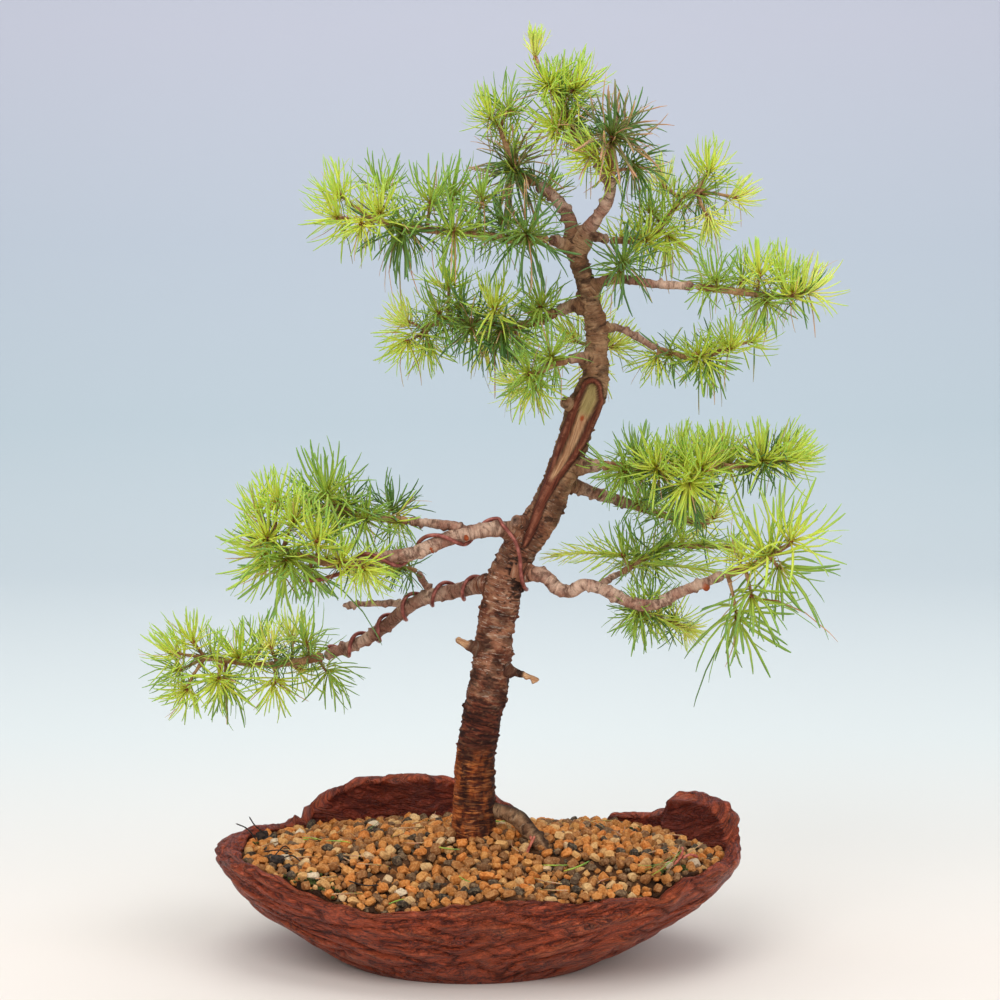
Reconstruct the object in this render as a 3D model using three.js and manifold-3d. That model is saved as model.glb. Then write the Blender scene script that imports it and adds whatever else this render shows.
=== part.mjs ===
// European larch bonsai in a hand-built crescent pot.
// Millimetres, +Z up, +X to the right in the front view, +Y away from the viewer.
// The origin is on the surface that the pot stands on, under the middle of its foot.

import * as THREE from 'three';
import { mergeVertices } from 'three/addons/utils/BufferGeometryUtils.js';
import Module from 'manifold-3d';

const wasm = await Module();
wasm.setup();

// Driving dimensions

const CLEARANCE = 0.35; // between pieces that touch

const POT = {
  segments: 40,
  footHalfWidth: 78,
  footHalfDepth: 60,
  rimHalfWidth: 156,
  rimHalfDepth: 90,
  rimShift: 5, // the rim sits a little to the right of the foot
  floor: 9,
  fold: 1.5, // depth of the folds in the outer face
  foldWaves: 22,
  foldSway: 1.6, // how far the folds rise and fall round the pot
  foldRipple: 1.1,
  drainRadius: 6,
  drainX: 34,
  channelWidth: 7,
  channelDepth: 2.5,
};

// Rim by angle, counterclockwise from the right end: angle in degrees, height, wall
const RIM = [[0, 68, 10], [8, 78, 12], [17, 84, 14], [27, 87, 15], [34, 86, 14], [41, 75, 11],
  [48, 66, 9], [59, 60, 8], [70, 58, 8], [79, 58, 8], [84, 69, 8], [89, 78, 9], [97, 85, 9],
  [106, 88, 10], [117, 87, 10], [125, 84, 9], [132, 70, 8], [138, 64, 8], [161, 66, 8],
  [180, 65, 8], [200, 65, 8], [217, 63, 8], [229, 57, 8], [238, 51, 8], [246, 48, 8], [256, 50, 8],
  [264, 54, 8], [277, 58, 8], [292, 54, 8], [301, 55, 8], [312, 52, 8], [322, 61, 8], [340, 65, 9],
  [360, 68, 10]];

const SOIL = {
  pitch: 11, // of the grains, larger than life
  grain: 1.7, // how far grains stand out
  jitter: 1.3,
  edge: 59, // level at the wall, where the rim is high enough
  freeboard: 2.5, // least height of the rim above the soil
  mound: 75, // level at the trunk
  sweep: 1.4, // how the mound falls off
};

const MESH_PLATE = { size: 24, thickness: 1, hole: 8, holesAcross: 2 };

// Each tuft is a small bud of twenty faces: one is drawn out into its twig and many into needles
const BUD_RADIUS = 1.6;
const NEEDLE = {
  length: 25,
  shortest: 0.86, // as a share of the tuft's length
  longest: 1.12,
  radius: 0.9,
  perTuft: 10,
  tries: 8,
  stray: 0.1, // of its direction, more with each further try
  strayPerTry: 0.04,
  sweep: 0.25, // how far needles lean outward
  lift: 0.35, // how far a tuft turns up
  twigAngle: 1.05, // least angle to the twig, in radians
  ownRoom: 0.1, // to needles of the same spray
};

// Part of a core's length that carries twigs
const CORE_FROM = 0.06;
const CORE_TO = 0.93;

const WIRE = { radius: 1.2, sides: 4, stepLength: 5.6 };

// Trunk from the stump in the soil to the fork: x, y, z, radius
const TRUNK = [[2, 0, 40, 10], [2, 0, 60, 12.4], [2, 0, 76, 12.6], [2, 0, 96, 12],
  [2, 0, 114, 11.8], [5, 0, 137, 11.4], [9, 1, 157, 11.7], [12, 2, 172, 11.4], [14, 3, 192, 10.6],
  [18, 3, 213, 11], [23, 3, 230, 10.6], [31, 2, 247, 10.3], [41, 1, 262, 10], [50, 0, 280, 8.8],
  [58, -1, 302, 9], [64, -2, 323, 9.6], [69, -3, 334, 9.6], [72, -3, 345, 7.6], [72, -3, 357, 6.4],
  [72, -2, 372, 6], [69, -2, 386, 5.4], [66, -2, 398, 5.3], [62, -2, 410, 5.8], [60, -2, 421, 5.4]];

// The long scar down the front of the trunk, and the rolled bark on both sides of it
const SCAR = [[68, -17, 341, 5], [66, -17.5, 328, 7], [60, -15.5, 309, 6], [53, -13, 288, 4.5],
  [44, -12.5, 268, 3]];
const SCAR_RIMS = [
  [[63, -10, 342, 2], [58, -10.5, 328, 2.6], [52, -9.5, 307, 2.4], [46, -8.5, 287, 2.2],
    [38, -8.5, 266, 1.6]],
  [[75, -9, 343, 2], [74, -9.5, 328, 2.6], [67, -9, 307, 2.4], [59, -8, 287, 2.2],
    [48, -8, 266, 1.6]],
];

// Bare wood of every branch, root, stub and knob: x, y, z, radius
const LOW_LEFT_WOOD = [[11, 4, 222, 4.6], [-5, 18, 216, 4.4], [-25, 28, 210, 4.2],
  [-39, 35, 202, 4.1], [-49, 40, 192, 4], [-63, 46, 181, 3.8], [-78, 52, 173, 3.4],
  [-90, 56, 168, 3]];
const MAIN_LEFT_WOOD = [[30, 0, 248, 4.8], [20, -4, 255, 4.4], [8, -10, 256, 4.3],
  [-9, -15, 253, 4.2], [-19, -18, 250, 4.2], [-34, -22, 244, 4], [-51, -25, 242, 3.4],
  [-66, -27, 239, 3]];
const LIMBS = [
  { sides: 5, steps: 5, path: [[4, 0, 92, 6.5], [14, 3, 86, 5.8], [27, 8, 80, 4.8],
    [34, 6, 74, 4.4], [43, -6, 68, 3.8], [50, -14, 58, 3]] },
  { sides: 6, steps: 9, path: LOW_LEFT_WOOD },
  { sides: 5, steps: 3, path: [[-23, 28, 211, 2.2], [-28, 29, 218, 2], [-32, 29, 225, 1.8]] },
  { sides: 5, steps: 5, path: [[-38, 34, 204, 2.2], [-50, 39, 204, 2], [-64, 42, 203, 1.8],
    [-78, 46, 201, 1.4]] },
  { sides: 6, steps: 9, path: MAIN_LEFT_WOOD },
  { sides: 6, steps: 5, path: [[0, -13, 255, 3], [-8, -13, 258, 2.8], [-21, -12, 260, 2.7],
    [-36, -8, 261, 2.5]] },
  { sides: 6, steps: 12, path: [[24, -2, 232, 4.8], [33, -4, 230, 4.3], [42, -9, 229, 4],
    [50, -13, 223, 3.8], [58, -16, 221, 3.6], [66, -18, 225, 3.6], [76, -20, 223, 3.5],
    [92, -24, 216, 3.4], [105, -26, 215, 3.3], [121, -28, 223, 3.1], [133, -30, 228, 2.9],
    [145, -33, 234, 2.7]] },
  { sides: 5, steps: 3, path: [[74, -19, 223, 2.3], [80, -9, 227, 2], [88, 2, 229, 1.8]] },
  { sides: 7, steps: 3, path: [[56, -2, 293, 4.4], [66, -9, 293, 4], [75, -13, 294, 3.6]] },
  { sides: 6, steps: 5, path: [[54, 4, 282, 4], [66, 12, 277, 3.7], [80, 23, 271, 3.4],
    [96, 34, 264, 3]] },
  { sides: 5, steps: 5, path: [[72, -2, 370, 2.8], [78, 0, 372, 2.5], [84, 4, 372, 2.3],
    [98, 10, 365, 2.2], [108, 13, 359, 2]] },
  { sides: 5, steps: 5, path: [[67, -3, 391, 3], [74, -5, 398, 2.8], [84, -8, 401, 2.6],
    [108, -12, 398, 2.4], [128, -14, 397, 2.2]] },
  { sides: 6, steps: 3, path: [[68, -2, 384, 3.5], [60, 0, 385, 3.4], [50, 6, 381, 3.1]] },
  { sides: 6, steps: 3, path: [[70, -4, 353, 3.2], [63, -11, 356, 3], [56, -16, 355, 2.7]] },
  { sides: 5, steps: 2, path: [[70, 0, 357, 2.6], [69, 13, 359, 2.3], [70, 20, 359, 2]] },
  { sides: 6, steps: 3, path: [[61, -2, 416, 3.4], [54, -5, 420, 3], [45, -10, 424, 2.7]] },
  { sides: 6, steps: 5, path: [[60, -2, 416, 4.8], [57, 3, 434, 4], [49, 8, 446, 3.7],
    [38, 12, 454, 3.2]] },
  { sides: 6, steps: 5, path: [[60, -2, 414, 4.6], [66, -4, 427, 4.2], [73, -8, 437, 3.7],
    [79, -10, 447, 3.4], [80, -13, 459, 3]] },
  { sides: 5, steps: 3, path: [[79, -11, 452, 2.4], [72, -6, 468, 2.3], [62, 0, 480, 2.1]] },
  { sides: 5, steps: 3, path: [[61, -2, 418, 3.2], [68, 0, 425, 2.7], [80, 4, 422, 2.2]] },
  { sides: 6, steps: 2, path: [[9, 0, 184, 3.8], [0, -2, 186, 3.4], [-8, -5, 191, 2.8]] },
  { sides: 6, steps: 2, path: [[16, -2, 175, 3.6], [26, -5, 170, 3], [40, -8, 168, 2]] },
  { sides: 7, steps: 2, path: [[62, -5, 326, 4], [56, -8, 329, 3.8], [52, -9, 331, 3]] },
  { sides: 7, steps: 1, path: [[33, -3, 258, 4], [28, -11, 262, 3.6]] },
  { sides: 7, steps: 1, path: [[133, -29, 228, 2.4], [136, -34, 225.5, 2.2]] },
];

// Leafy ends. Each core starts where its bare wood ends. Tufts are x, y, z and, where it
// differs from the usual, the needles' length.
const SPRAYS = {
  spray_low_left: {
    core: [[-90, 56, 168, 2.6], [-104, 60, 164, 2.3], [-125, 64, 161, 2], [-148, 68, 162, 1.7],
      [-170, 66, 166, 1.3]],
    tufts: [[-143, 64, 166], [-171, 62, 177, 22], [-184, 62, 169, 21], [-182, 75, 155],
      [-178, 62, 142, 21], [-155, 56, 153], [-153, 76, 145, 30], [-131, 80, 170], [-122, 54, 175],
      [-111, 72, 178, 20], [-101, 62, 176], [-121, 56, 150, 24], [-106, 74, 155, 21],
      [-88, 64, 155]],
  },
  spray_low_left_side: {
    core: [[-32, 29, 225, 1.5], [-41, 30, 227, 1.4], [-54, 33, 226, 1.3], [-66, 37, 223, 1]],
    tufts: [[-42, 30, 228, 19], [-55, 36, 225, 19], [-68, 38, 222, 19]],
  },
  spray_main_left: {
    core: [[-66, -27, 239, 2.7], [-82, -28, 240, 2.4], [-96, -26, 243, 2], [-108, -25, 247, 1.6],
      [-116, -22, 253, 1.3]],
    tufts: [[-87, -41, 256], [-74, -35, 243, 21], [-106, -36, 240, 30], [-119, -20, 242, 24],
      [-117, -37, 257], [-122, -12, 268, 21], [-110, -28, 277, 22], [-100, -37, 267],
      [-92, -18, 232, 22]],
  },
  spray_main_left_top: {
    core: [[-36, -8, 261, 2.3], [-52, -4, 262, 2.1], [-66, -6, 264, 1.9], [-80, -10, 271, 1.6]],
    tufts: [[-46, 3, 267], [-60, -16, 264, 22], [-71, -2, 270, 24], [-83, -18, 279, 29],
      [-93, 0, 270, 23], [-80, 6, 262, 22]],
  },
  spray_low_right: {
    core: [[145, -33, 234, 2.4], [155, -36, 238, 2.2], [163, -38, 241, 2], [171, -39, 246, 1.6],
      [183, -42, 254, 1.2]],
    tufts: [[168, -41, 247, 32], [184, -43, 256, 30], [154, -32, 243, 24], [160, -44, 222, 29],
      [152, -40, 209, 29], [177, -32, 237, 33]],
  },
  spray_low_right_feather: {
    core: [[88, 2, 229, 1.7], [98, 12, 233, 1.8], [113, 22, 240, 1.6], [135, 30, 240, 1.3],
      [156, 36, 238, 1]],
    tufts: [[89, 9, 239, 18], [68, 6, 239, 17], [50, 3, 239, 15], [99, 20, 235, 24],
      [114, 24, 244, 22], [136, 30, 242, 17], [157, 36, 238, 15], [123, 12, 231, 17],
      [143, 15, 227, 15]],
  },
  spray_low_right_under: {
    core: [[98, -24, 214.5, 1.7], [99, -12, 209, 1.7], [110, 0, 202, 1.4], [126, 10, 195, 1]],
    tufts: [[98, -8, 206, 23], [112, 1, 199, 20], [128, 12, 193, 17], [106, 14, 212, 20]],
  },
  spray_mid_right: {
    core: [[75, -13, 294, 2.8], [90, -17, 294, 2.5], [117, -24, 294, 2.2], [142, -26, 296, 1.8],
      [166, -26, 299, 1.4], [180, -25, 304, 1]],
    tufts: [[88, -22, 291, 22], [106, -31, 298], [97, -10, 304, 22], [122, -12, 305],
      [134, -35, 299, 26], [127, -38, 288, 24], [143, -19, 306], [149, -11, 295],
      [124, -16, 279, 28], [166, -28, 300, 22], [181, -25, 305, 22], [110, -8, 289, 22]],
  },
  spray_back_right: {
    core: [[96, 34, 264, 2.6], [108, 42, 259, 2.3], [122, 48, 254, 1.9], [144, 56, 250, 1.3]],
    tufts: [[103, 31, 267, 19], [120, 58, 256], [139, 60, 248, 22], [146, 48, 256, 20]],
  },
  spray_thin_right: {
    core: [[108, 13, 359, 1.8], [122, 17, 355, 1.8], [138, 22, 355, 1.6], [155, 27, 359, 1.2]],
    tufts: [[108, 18, 353, 20], [134, 18, 354], [140, 30, 350], [151, 18, 360, 22],
      [166, 29, 363, 20]],
  },
  spray_long_right: {
    core: [[128, -14, 397, 2], [145, -15, 395, 2], [168, -16, 392, 1.7], [190, -15, 391, 1.2]],
    tufts: [[140, -14, 401], [156, -4, 402, 21], [164, -23, 410], [178, -9, 404, 22],
      [168, -20, 387, 24], [183, -21, 394, 23], [192, -13, 395, 24]],
  },
  spray_long_right_base: {
    core: [[85, -8.5, 403, 1.8], [87, -13, 409, 1.6]],
    tufts: [[87, -15, 410, 27]],
  },
  spray_mid_left: {
    core: [[50, 6, 381, 2.8], [38, 12, 375, 2.6], [22, 16, 372, 2.4], [-4, 18, 375, 2.1],
      [-22, 21, 373, 1.8], [-30, 22, 364, 1.4]],
    tufts: [[40, 2, 386], [14, -4, 385], [-7, 19, 385, 22], [-13, 30, 396, 22], [-19, 6, 381, 22],
      [-38, 18, 375, 20], [-38, 14, 362, 22], [-25, 32, 358, 21], [9, 32, 363], [0, 4, 372, 26],
      [18, 6, 368, 27], [28, 28, 361, 22]],
  },
  spray_short_left: {
    core: [[56, -16, 355, 2.4], [47, -20, 353, 2.2], [36, -24, 347, 1.8]],
    tufts: [[46, -22, 358], [33, -31, 349, 22], [37, -19, 338, 23], [26, -16, 342, 19]],
  },
  spray_behind: {
    core: [[70, 20, 359, 1.8], [70, 34, 360, 1.6]],
    tufts: [[59, 32, 364, 20], [84, 34, 359, 21], [72, 42, 344, 21], [73, 40, 376, 20]],
  },
  spray_upper_left: {
    core: [[45, -10, 424, 2.5], [30, -13, 423, 2.3], [2, -16, 427, 2.1], [-22, -18, 429, 1.9],
      [-44, -19, 432, 1.5], [-62, -18, 438, 1.1]],
    tufts: [[-50, -30, 440, 23], [-75, -14, 450, 20], [-76, -22, 437, 20], [-61, -32, 432, 20],
      [-49, -8, 453, 20], [-38, -22, 428, 30], [-22, -22, 446], [-9, -29, 430], [-10, -6, 450],
      [7, -14, 448, 22], [32, -22, 427, 30], [19, -6, 434, 24]],
  },
  spray_left_fork: {
    core: [[38, 12, 454, 2.7], [27, 15, 462, 2.3], [20, 17, 478, 1.7], [16, 19, 490, 1.3]],
    tufts: [[25, 14, 463, 30], [11, 16, 494, 20], [22, 26, 497, 22], [43, 21, 449, 22]],
  },
  spray_right_fork: {
    core: [[80, -13, 459, 2.6], [80, -15, 468, 2.3], [80, -18, 478, 1.8]],
    tufts: [[80, -20, 482, 33], [67, -21, 471, 23], [94, -6, 464, 24], [88, -2, 488, 24]],
  },
  spray_leader: {
    core: [[62, 0, 480, 1.9], [56, 2, 488, 1.9], [52, 4, 500, 1.8], [45, 4, 510, 1.5],
      [37, 4, 524, 1.3]],
    tufts: [[37, 4, 526, 20], [45, -5, 511, 21], [53, 12, 507, 23], [60, -2, 509, 25],
      [49, -5, 487, 23], [58, 10, 489, 19]],
  },
  spray_right_of_fork: {
    core: [[80, 4, 422, 1.9], [100, 12, 423, 1.8], [112, 15, 432, 1.7], [123, 18, 447, 1.5],
      [136, 21, 451, 1.1]],
    tufts: [[101, 2, 423], [115, 18, 423], [103, 5, 440, 21], [111, 27, 454, 20],
      [134, 24, 449, 22], [138, 17, 463, 21], [155, 27, 446, 19], [138, 12, 433, 19]],
  },
};

// One wire: round the low left branch, behind the trunk, up its front and round the main left
// branch. Turns above 0 pass the front of a branch downward on their way to its tip.
const WIRE_ROUND_TRUNK = [[9, 14, 223], [19, 17, 220], [27, 15, 218], [32.5, 9.5, 217],
  [34, 2.5, 216.5], [33, -5, 218.5], [30.5, -10.3, 224], [29, -10.6, 232], [28.5, -11, 240],
  [26.5, -11.3, 248], [23, -11.5, 254], [18.5, -10, 259]];
const WIRE_TAIL = [[-67, -21.5, 240], [-71, -24, 234.5], [-78, -31, 233], [-87, -35, 231],
  [-96, -33, 231]];
const WIRE_TURNS = { lowLeft: 5, mainLeft: -2 };

// Seeded random numbers from 0 to 1

function seeded(seed) {
  let state = seed;
  return () => {
    state = (state * 1664525 + 1013904223) % 4294967296;
    return state / 4294967296;
  };
}

const { lerp } = THREE.MathUtils;
const vector = ([x, y, z]) => new THREE.Vector3(x, y, z);

// Solids and meshes

function solidOf(geometry) {
  for (const name of Object.keys(geometry.attributes)) {
    if (name !== 'position') geometry.deleteAttribute(name);
  }
  const merged = mergeVertices(geometry, 1e-4);
  const corners = merged.index.array;
  const spots = merged.attributes.position;
  const triangles = [];
  const [a, b, c] = [new THREE.Vector3(), new THREE.Vector3(), new THREE.Vector3()];
  let volume = 0;
  for (let i = 0; i < corners.length; i += 3) {
    const [p, q, r] = corners.subarray(i, i + 3);
    if (p === q || q === r || r === p) continue;
    triangles.push(p, q, r);
    a.fromBufferAttribute(spots, p);
    b.fromBufferAttribute(spots, q);
    c.fromBufferAttribute(spots, r);
    volume += a.dot(b.cross(c));
  }
  if (volume < 0) triangles.reverse();
  const vertProperties = new Float32Array(spots.array);
  const triVerts = new Uint32Array(triangles);
  return new wasm.Manifold(new wasm.Mesh({ numProp: 3, vertProperties, triVerts }));
}

function join(solids) {
  return solids.reduce((whole, next) => whole.add(next));
}

// The largest body of a solid, without loose scraps and sealed hollows
function mainBody(solid) {
  return solid.decompose().reduce((best, next) => (next.volume() > best.volume() ? next : best));
}

function meshOf(name, solid, look) {
  const { vertProperties, triVerts } = solid.getMesh();
  const geometry = new THREE.BufferGeometry();
  geometry.setAttribute('position', new THREE.BufferAttribute(vertProperties, 3));
  geometry.setIndex(new THREE.BufferAttribute(triVerts, 1));
  geometry.computeVertexNormals();
  const mesh = new THREE.Mesh(geometry, new THREE.MeshStandardMaterial(look));
  mesh.name = name;
  return mesh;
}

// A tapering limb: a closed cylinder bent along the path's points, whose fourth number is the
// radius. grow widens it and lengthens both of its ends, and relief moves its skin.

function limbCurve(path, grow = 0) {
  const points = path.map(vector);
  const last = points.length - 1;
  points[0].addScaledVector(points[0].clone().sub(points[1]).normalize(), grow);
  points[last].addScaledVector(points[last].clone().sub(points[last - 1]).normalize(), grow);
  return new THREE.CatmullRomCurve3(points, false, 'centripetal');
}

function radiusAt(path, along) {
  const spot = along * (path.length - 1);
  const before = Math.min(Math.floor(spot), path.length - 2);
  return lerp(path[before][3], path[before + 1][3], spot - before);
}

function limb(path, sides, steps, { grow = 0, relief = () => 0 } = {}) {
  const curve = limbCurve(path, grow);
  const { normals, binormals } = curve.computeFrenetFrames(steps);
  const geometry = new THREE.CylinderGeometry(1, 1, 1, sides, steps);
  const position = geometry.attributes.position;
  const point = new THREE.Vector3();
  for (let i = 0; i < position.count; i += 1) {
    const [across, up] = [position.getX(i), position.getZ(i)];
    const step = Math.round((0.5 - position.getY(i)) * steps);
    const along = curve.getUtoTmapping(step / steps);
    const side = Math.round((Math.atan2(up, across) / Math.PI / 2) * sides + sides) % sides;
    const radius = radiusAt(path, along) + grow + relief(side, step);
    curve.getPoint(along, point);
    point.addScaledVector(normals[step], across * radius);
    point.addScaledVector(binormals[step], up * radius);
    position.setXYZ(i, point.x, point.y, point.z);
  }
  return solidOf(geometry);
}

// Pot

function rimAt(degrees) {
  const angle = ((degrees % 360) + 360) % 360;
  const after = Math.max(1, RIM.findIndex(([edge]) => edge >= angle));
  const [from, to] = [RIM[after - 1], RIM[after]];
  const share = (angle - from[0]) / (to[0] - from[0]);
  const eased = share * share * (3 - 2 * share);
  return { height: lerp(from[1], to[1], eased), wall: lerp(from[2], to[2], eased) };
}

// A spot on the pot's wall: level runs from 0 at the foot to 1 at the rim, inset goes inward
function wallPoint(degrees, level, inset) {
  const angle = THREE.MathUtils.degToRad(degrees);
  const swell = Math.sin(level * Math.PI / 2);
  const halfWidth = lerp(POT.footHalfWidth, POT.rimHalfWidth, swell) - inset;
  const halfDepth = lerp(POT.footHalfDepth, POT.rimHalfDepth, swell) - inset;
  return new THREE.Vector3(
    POT.rimShift * swell + halfWidth * Math.cos(angle),
    halfDepth * Math.sin(angle),
    level * rimAt(degrees).height,
  );
}

function foldAt(degrees, level) {
  const angle = THREE.MathUtils.degToRad(degrees);
  const sway = POT.foldSway * Math.sin(2 * angle + 0.6) + POT.foldRipple * Math.sin(5 * angle);
  const fadeIn = Math.min(1, 6 * level);
  return POT.fold * Math.sin(POT.foldWaves * level + sway) * fadeIn;
}

// Turns rows of spots, one for each angle, into a closed body. Each row is a function of the
// angle, and the first and last rows are single spots on the axis.
function turned(rows) {
  const blank = rows.map((row, i) => new THREE.Vector2(1, i));
  const geometry = new THREE.LatheGeometry(blank, POT.segments);
  const position = geometry.attributes.position;
  for (let i = 0; i < position.count; i += 1) {
    const degrees = (Math.floor(i / rows.length) % POT.segments) * (360 / POT.segments);
    const { x, y, z } = rows[i % rows.length](degrees);
    position.setXYZ(i, x, y, z);
  }
  return solidOf(geometry);
}

const INSIDE_LEVELS = [0.8, 0.6, 0.4, 0.22];

// The pot's inner face from the rim down to the floor, moved inward by gap
function insideRows(gap) {
  const lowest = (degrees) => POT.floor / rimAt(degrees).height;
  const inset = (degrees) => rimAt(degrees).wall + gap;
  const rows = INSIDE_LEVELS.map((level) => (degrees) => wallPoint(degrees, level, inset(degrees)));
  rows.push((degrees) => {
    const spot = wallPoint(degrees, lowest(degrees), POT.floor + gap);
    spot.z = POT.floor + gap;
    return spot;
  });
  rows.push(() => new THREE.Vector3(0, 0, POT.floor + gap));
  return rows;
}

function makePot() {
  const outside = [0.04, 0.14, 0.27, 0.4, 0.53, 0.66, 0.79, 0.92];
  const body = turned([
    () => new THREE.Vector3(0, 0, 0),
    (degrees) => wallPoint(degrees, 0, 2),
    ...outside.map((level) => (degrees) => wallPoint(degrees, level, foldAt(degrees, level))),
    (degrees) => wallPoint(degrees, 1, 0.25 * rimAt(degrees).wall),
    (degrees) => wallPoint(degrees, 1, 0.75 * rimAt(degrees).wall),
    (degrees) => wallPoint(degrees, 0.93, rimAt(degrees).wall),
    ...insideRows(0),
  ]);
  const cuts = [-POT.drainX, POT.drainX].flatMap((x) => {
    const hole = new THREE.CylinderGeometry(POT.drainRadius, POT.drainRadius, 3 * POT.floor, 16);
    hole.rotateX(Math.PI / 2).translate(x, 0, 0);
    const channel = new THREE.BoxGeometry(POT.channelWidth, 4 * POT.footHalfDepth, 2 * POT.channelDepth);
    channel.translate(x, 0, 0);
    return [solidOf(hole), solidOf(channel)];
  });
  return cuts.reduce((pot, cut) => pot.subtract(cut), body);
}

// Soil with its gravel

function chance(i, j) {
  const wave = Math.sin(i * 127.1 + j * 311.7) * 43758.5453;
  return wave - Math.floor(wave);
}

// Level of the soil without its grains
function soilLevel(x, y) {
  const [across, deep] = [(x - POT.rimShift) / POT.rimHalfWidth, y / POT.rimHalfDepth];
  const degrees = THREE.MathUtils.radToDeg(Math.atan2(deep, across));
  const edge = Math.min(SOIL.edge, rimAt(degrees).height - SOIL.freeboard);
  const inward = Math.max(0, 1 - Math.hypot(across, deep));
  return lerp(edge, SOIL.mound, inward ** SOIL.sweep);
}

// A block whose top is the soil's level with its grains, wider than the pot's inside
function makeGravel() {
  const [width, depth, low] = [2.1 * POT.rimHalfWidth, 2.2 * POT.rimHalfDepth, POT.floor - 5];
  const across = Math.round(width / SOIL.pitch);
  const deep = Math.round(depth / SOIL.pitch);
  const geometry = new THREE.BoxGeometry(width, depth, 2, across, deep, 1);
  const position = geometry.attributes.position;
  for (let n = 0; n < position.count; n += 1) {
    const [x, y] = [position.getX(n), position.getY(n)];
    if (position.getZ(n) < 0) {
      position.setXYZ(n, x + POT.rimShift, y, low);
      continue;
    }
    const [i, j] = [Math.round(x / SOIL.pitch + 99), Math.round(y / SOIL.pitch + 99)];
    const px = x + POT.rimShift + SOIL.jitter * (2 * chance(i, j) - 1);
    const py = y + SOIL.jitter * (2 * chance(j, i) - 1);
    const stand = ((i + j) % 2 ? 1 : -1) + 0.7 * (chance(i + 7, j) - 0.5);
    position.setXYZ(n, px, py, soilLevel(px, py) + SOIL.grain * stand);
  }
  return solidOf(geometry);
}

// The pot's inside, carried on upward past the rim, under the relief of the gravel
function makeSubstrate(buriedLimbs) {
  const [above, top] = [40, 150];
  const aboveRim = (degrees) => {
    const spot = wallPoint(degrees, 1, rimAt(degrees).wall + CLEARANCE);
    spot.z += above;
    return spot;
  };
  const filling = turned([
    () => new THREE.Vector3(0, 0, top),
    aboveRim,
    (degrees) => wallPoint(degrees, 0.93, rimAt(degrees).wall + CLEARANCE),
    ...insideRows(CLEARANCE),
  ]);
  const pockets = [-POT.drainX, POT.drainX].map((x) => {
    const size = MESH_PLATE.size + 2 * CLEARANCE;
    const pocket = new THREE.BoxGeometry(size, size, 2 * (MESH_PLATE.thickness + 2 * CLEARANCE));
    return solidOf(pocket.translate(x, 0, POT.floor));
  });
  const holes = buriedLimbs.map(({ path, sides, steps }) => {
    return limb(path, sides, steps, { grow: CLEARANCE });
  });
  const soil = filling.intersect(makeGravel());
  return mainBody([...pockets, ...holes].reduce((rest, hole) => rest.subtract(hole), soil));
}

// Mesh over a drain hole, under the soil

function makeDrainMesh(x) {
  const { size, thickness, hole, holesAcross } = MESH_PLATE;
  const middle = POT.floor + CLEARANCE + thickness / 2;
  const plate = solidOf(new THREE.BoxGeometry(size, size, thickness).translate(x, 0, middle));
  const pitch = size / holesAcross;
  const offsets = Array.from({ length: holesAcross }, (unused, i) => (i + 0.5) * pitch - size / 2);
  const holes = offsets.flatMap((across) => offsets.map((deep) => {
    const opening = new THREE.BoxGeometry(hole, hole, 3 * thickness);
    return solidOf(opening.translate(x + across, deep, middle));
  }));
  return holes.reduce((rest, opening) => rest.subtract(opening), plate);
}

// Trunk and bare branches, one grown piece

const TRUNK_SIDES = 10;
const TRUNK_STEPS = 26;
const BARK_RELIEF = 0.7;
const BURIED_STEPS = 4; // the stump in the soil is plain

function barkRelief(side, step) {
  if (step < BURIED_STEPS) return 0;
  const ridge = Math.sin(step * 2.1 + side * 0.9) + 0.8 * (chance(side, step) - 0.5);
  return BARK_RELIEF * ridge;
}

function makeWood() {
  const trunk = limb(TRUNK, TRUNK_SIDES, TRUNK_STEPS, { relief: barkRelief });
  const rims = SCAR_RIMS.map((path) => limb(path, 4, 4));
  const branches = LIMBS.map(({ path, sides, steps }) => limb(path, sides, steps));
  const scarred = join([trunk, ...rims]).subtract(limb(SCAR, 6, 4));
  return mainBody(join([scarred, ...branches]));
}

// Stretches of limbs, twigs, wires and needles as segments with a radius, to keep needles clear

function stretches(path, count) {
  const curve = limbCurve(path);
  const spots = Array.from({ length: count + 1 }, (unused, i) => i / count);
  return spots.slice(1).map((end, i) => ({
    from: curve.getPoint(spots[i]),
    to: curve.getPoint(end),
    radius: Math.max(radiusAt(path, spots[i]), radiusAt(path, end)),
  }));
}

// Room left between the skins of two such segments
function roomBetween(one, other) {
  const [u, v] = [one.to.clone().sub(one.from), other.to.clone().sub(other.from)];
  const w = one.from.clone().sub(other.from);
  const [a, b, c, d, e] = [u.dot(u), u.dot(v), v.dot(v), u.dot(w), v.dot(w)];
  const spread = a * c - b * b;
  let s = spread > 1e-9 ? THREE.MathUtils.clamp((b * e - c * d) / spread, 0, 1) : 0;
  const t = THREE.MathUtils.clamp((b * s + e) / c, 0, 1);
  s = THREE.MathUtils.clamp((b * t - d) / a, 0, 1);
  const apart = w.addScaledVector(u, s).addScaledVector(v, -t).length();
  return apart - one.radius - other.radius;
}

// Sprays of needles

// The nearest spot on a core, a little inside both of its ends
function nearestOn(curve, spot) {
  const count = 24;
  const samples = Array.from({ length: count + 1 }, (unused, i) => {
    return curve.getPoint(lerp(CORE_FROM, CORE_TO, i / count));
  });
  return samples.reduce((best, next) => (next.distanceTo(spot) < best.distanceTo(spot) ? next : best));
}

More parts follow.
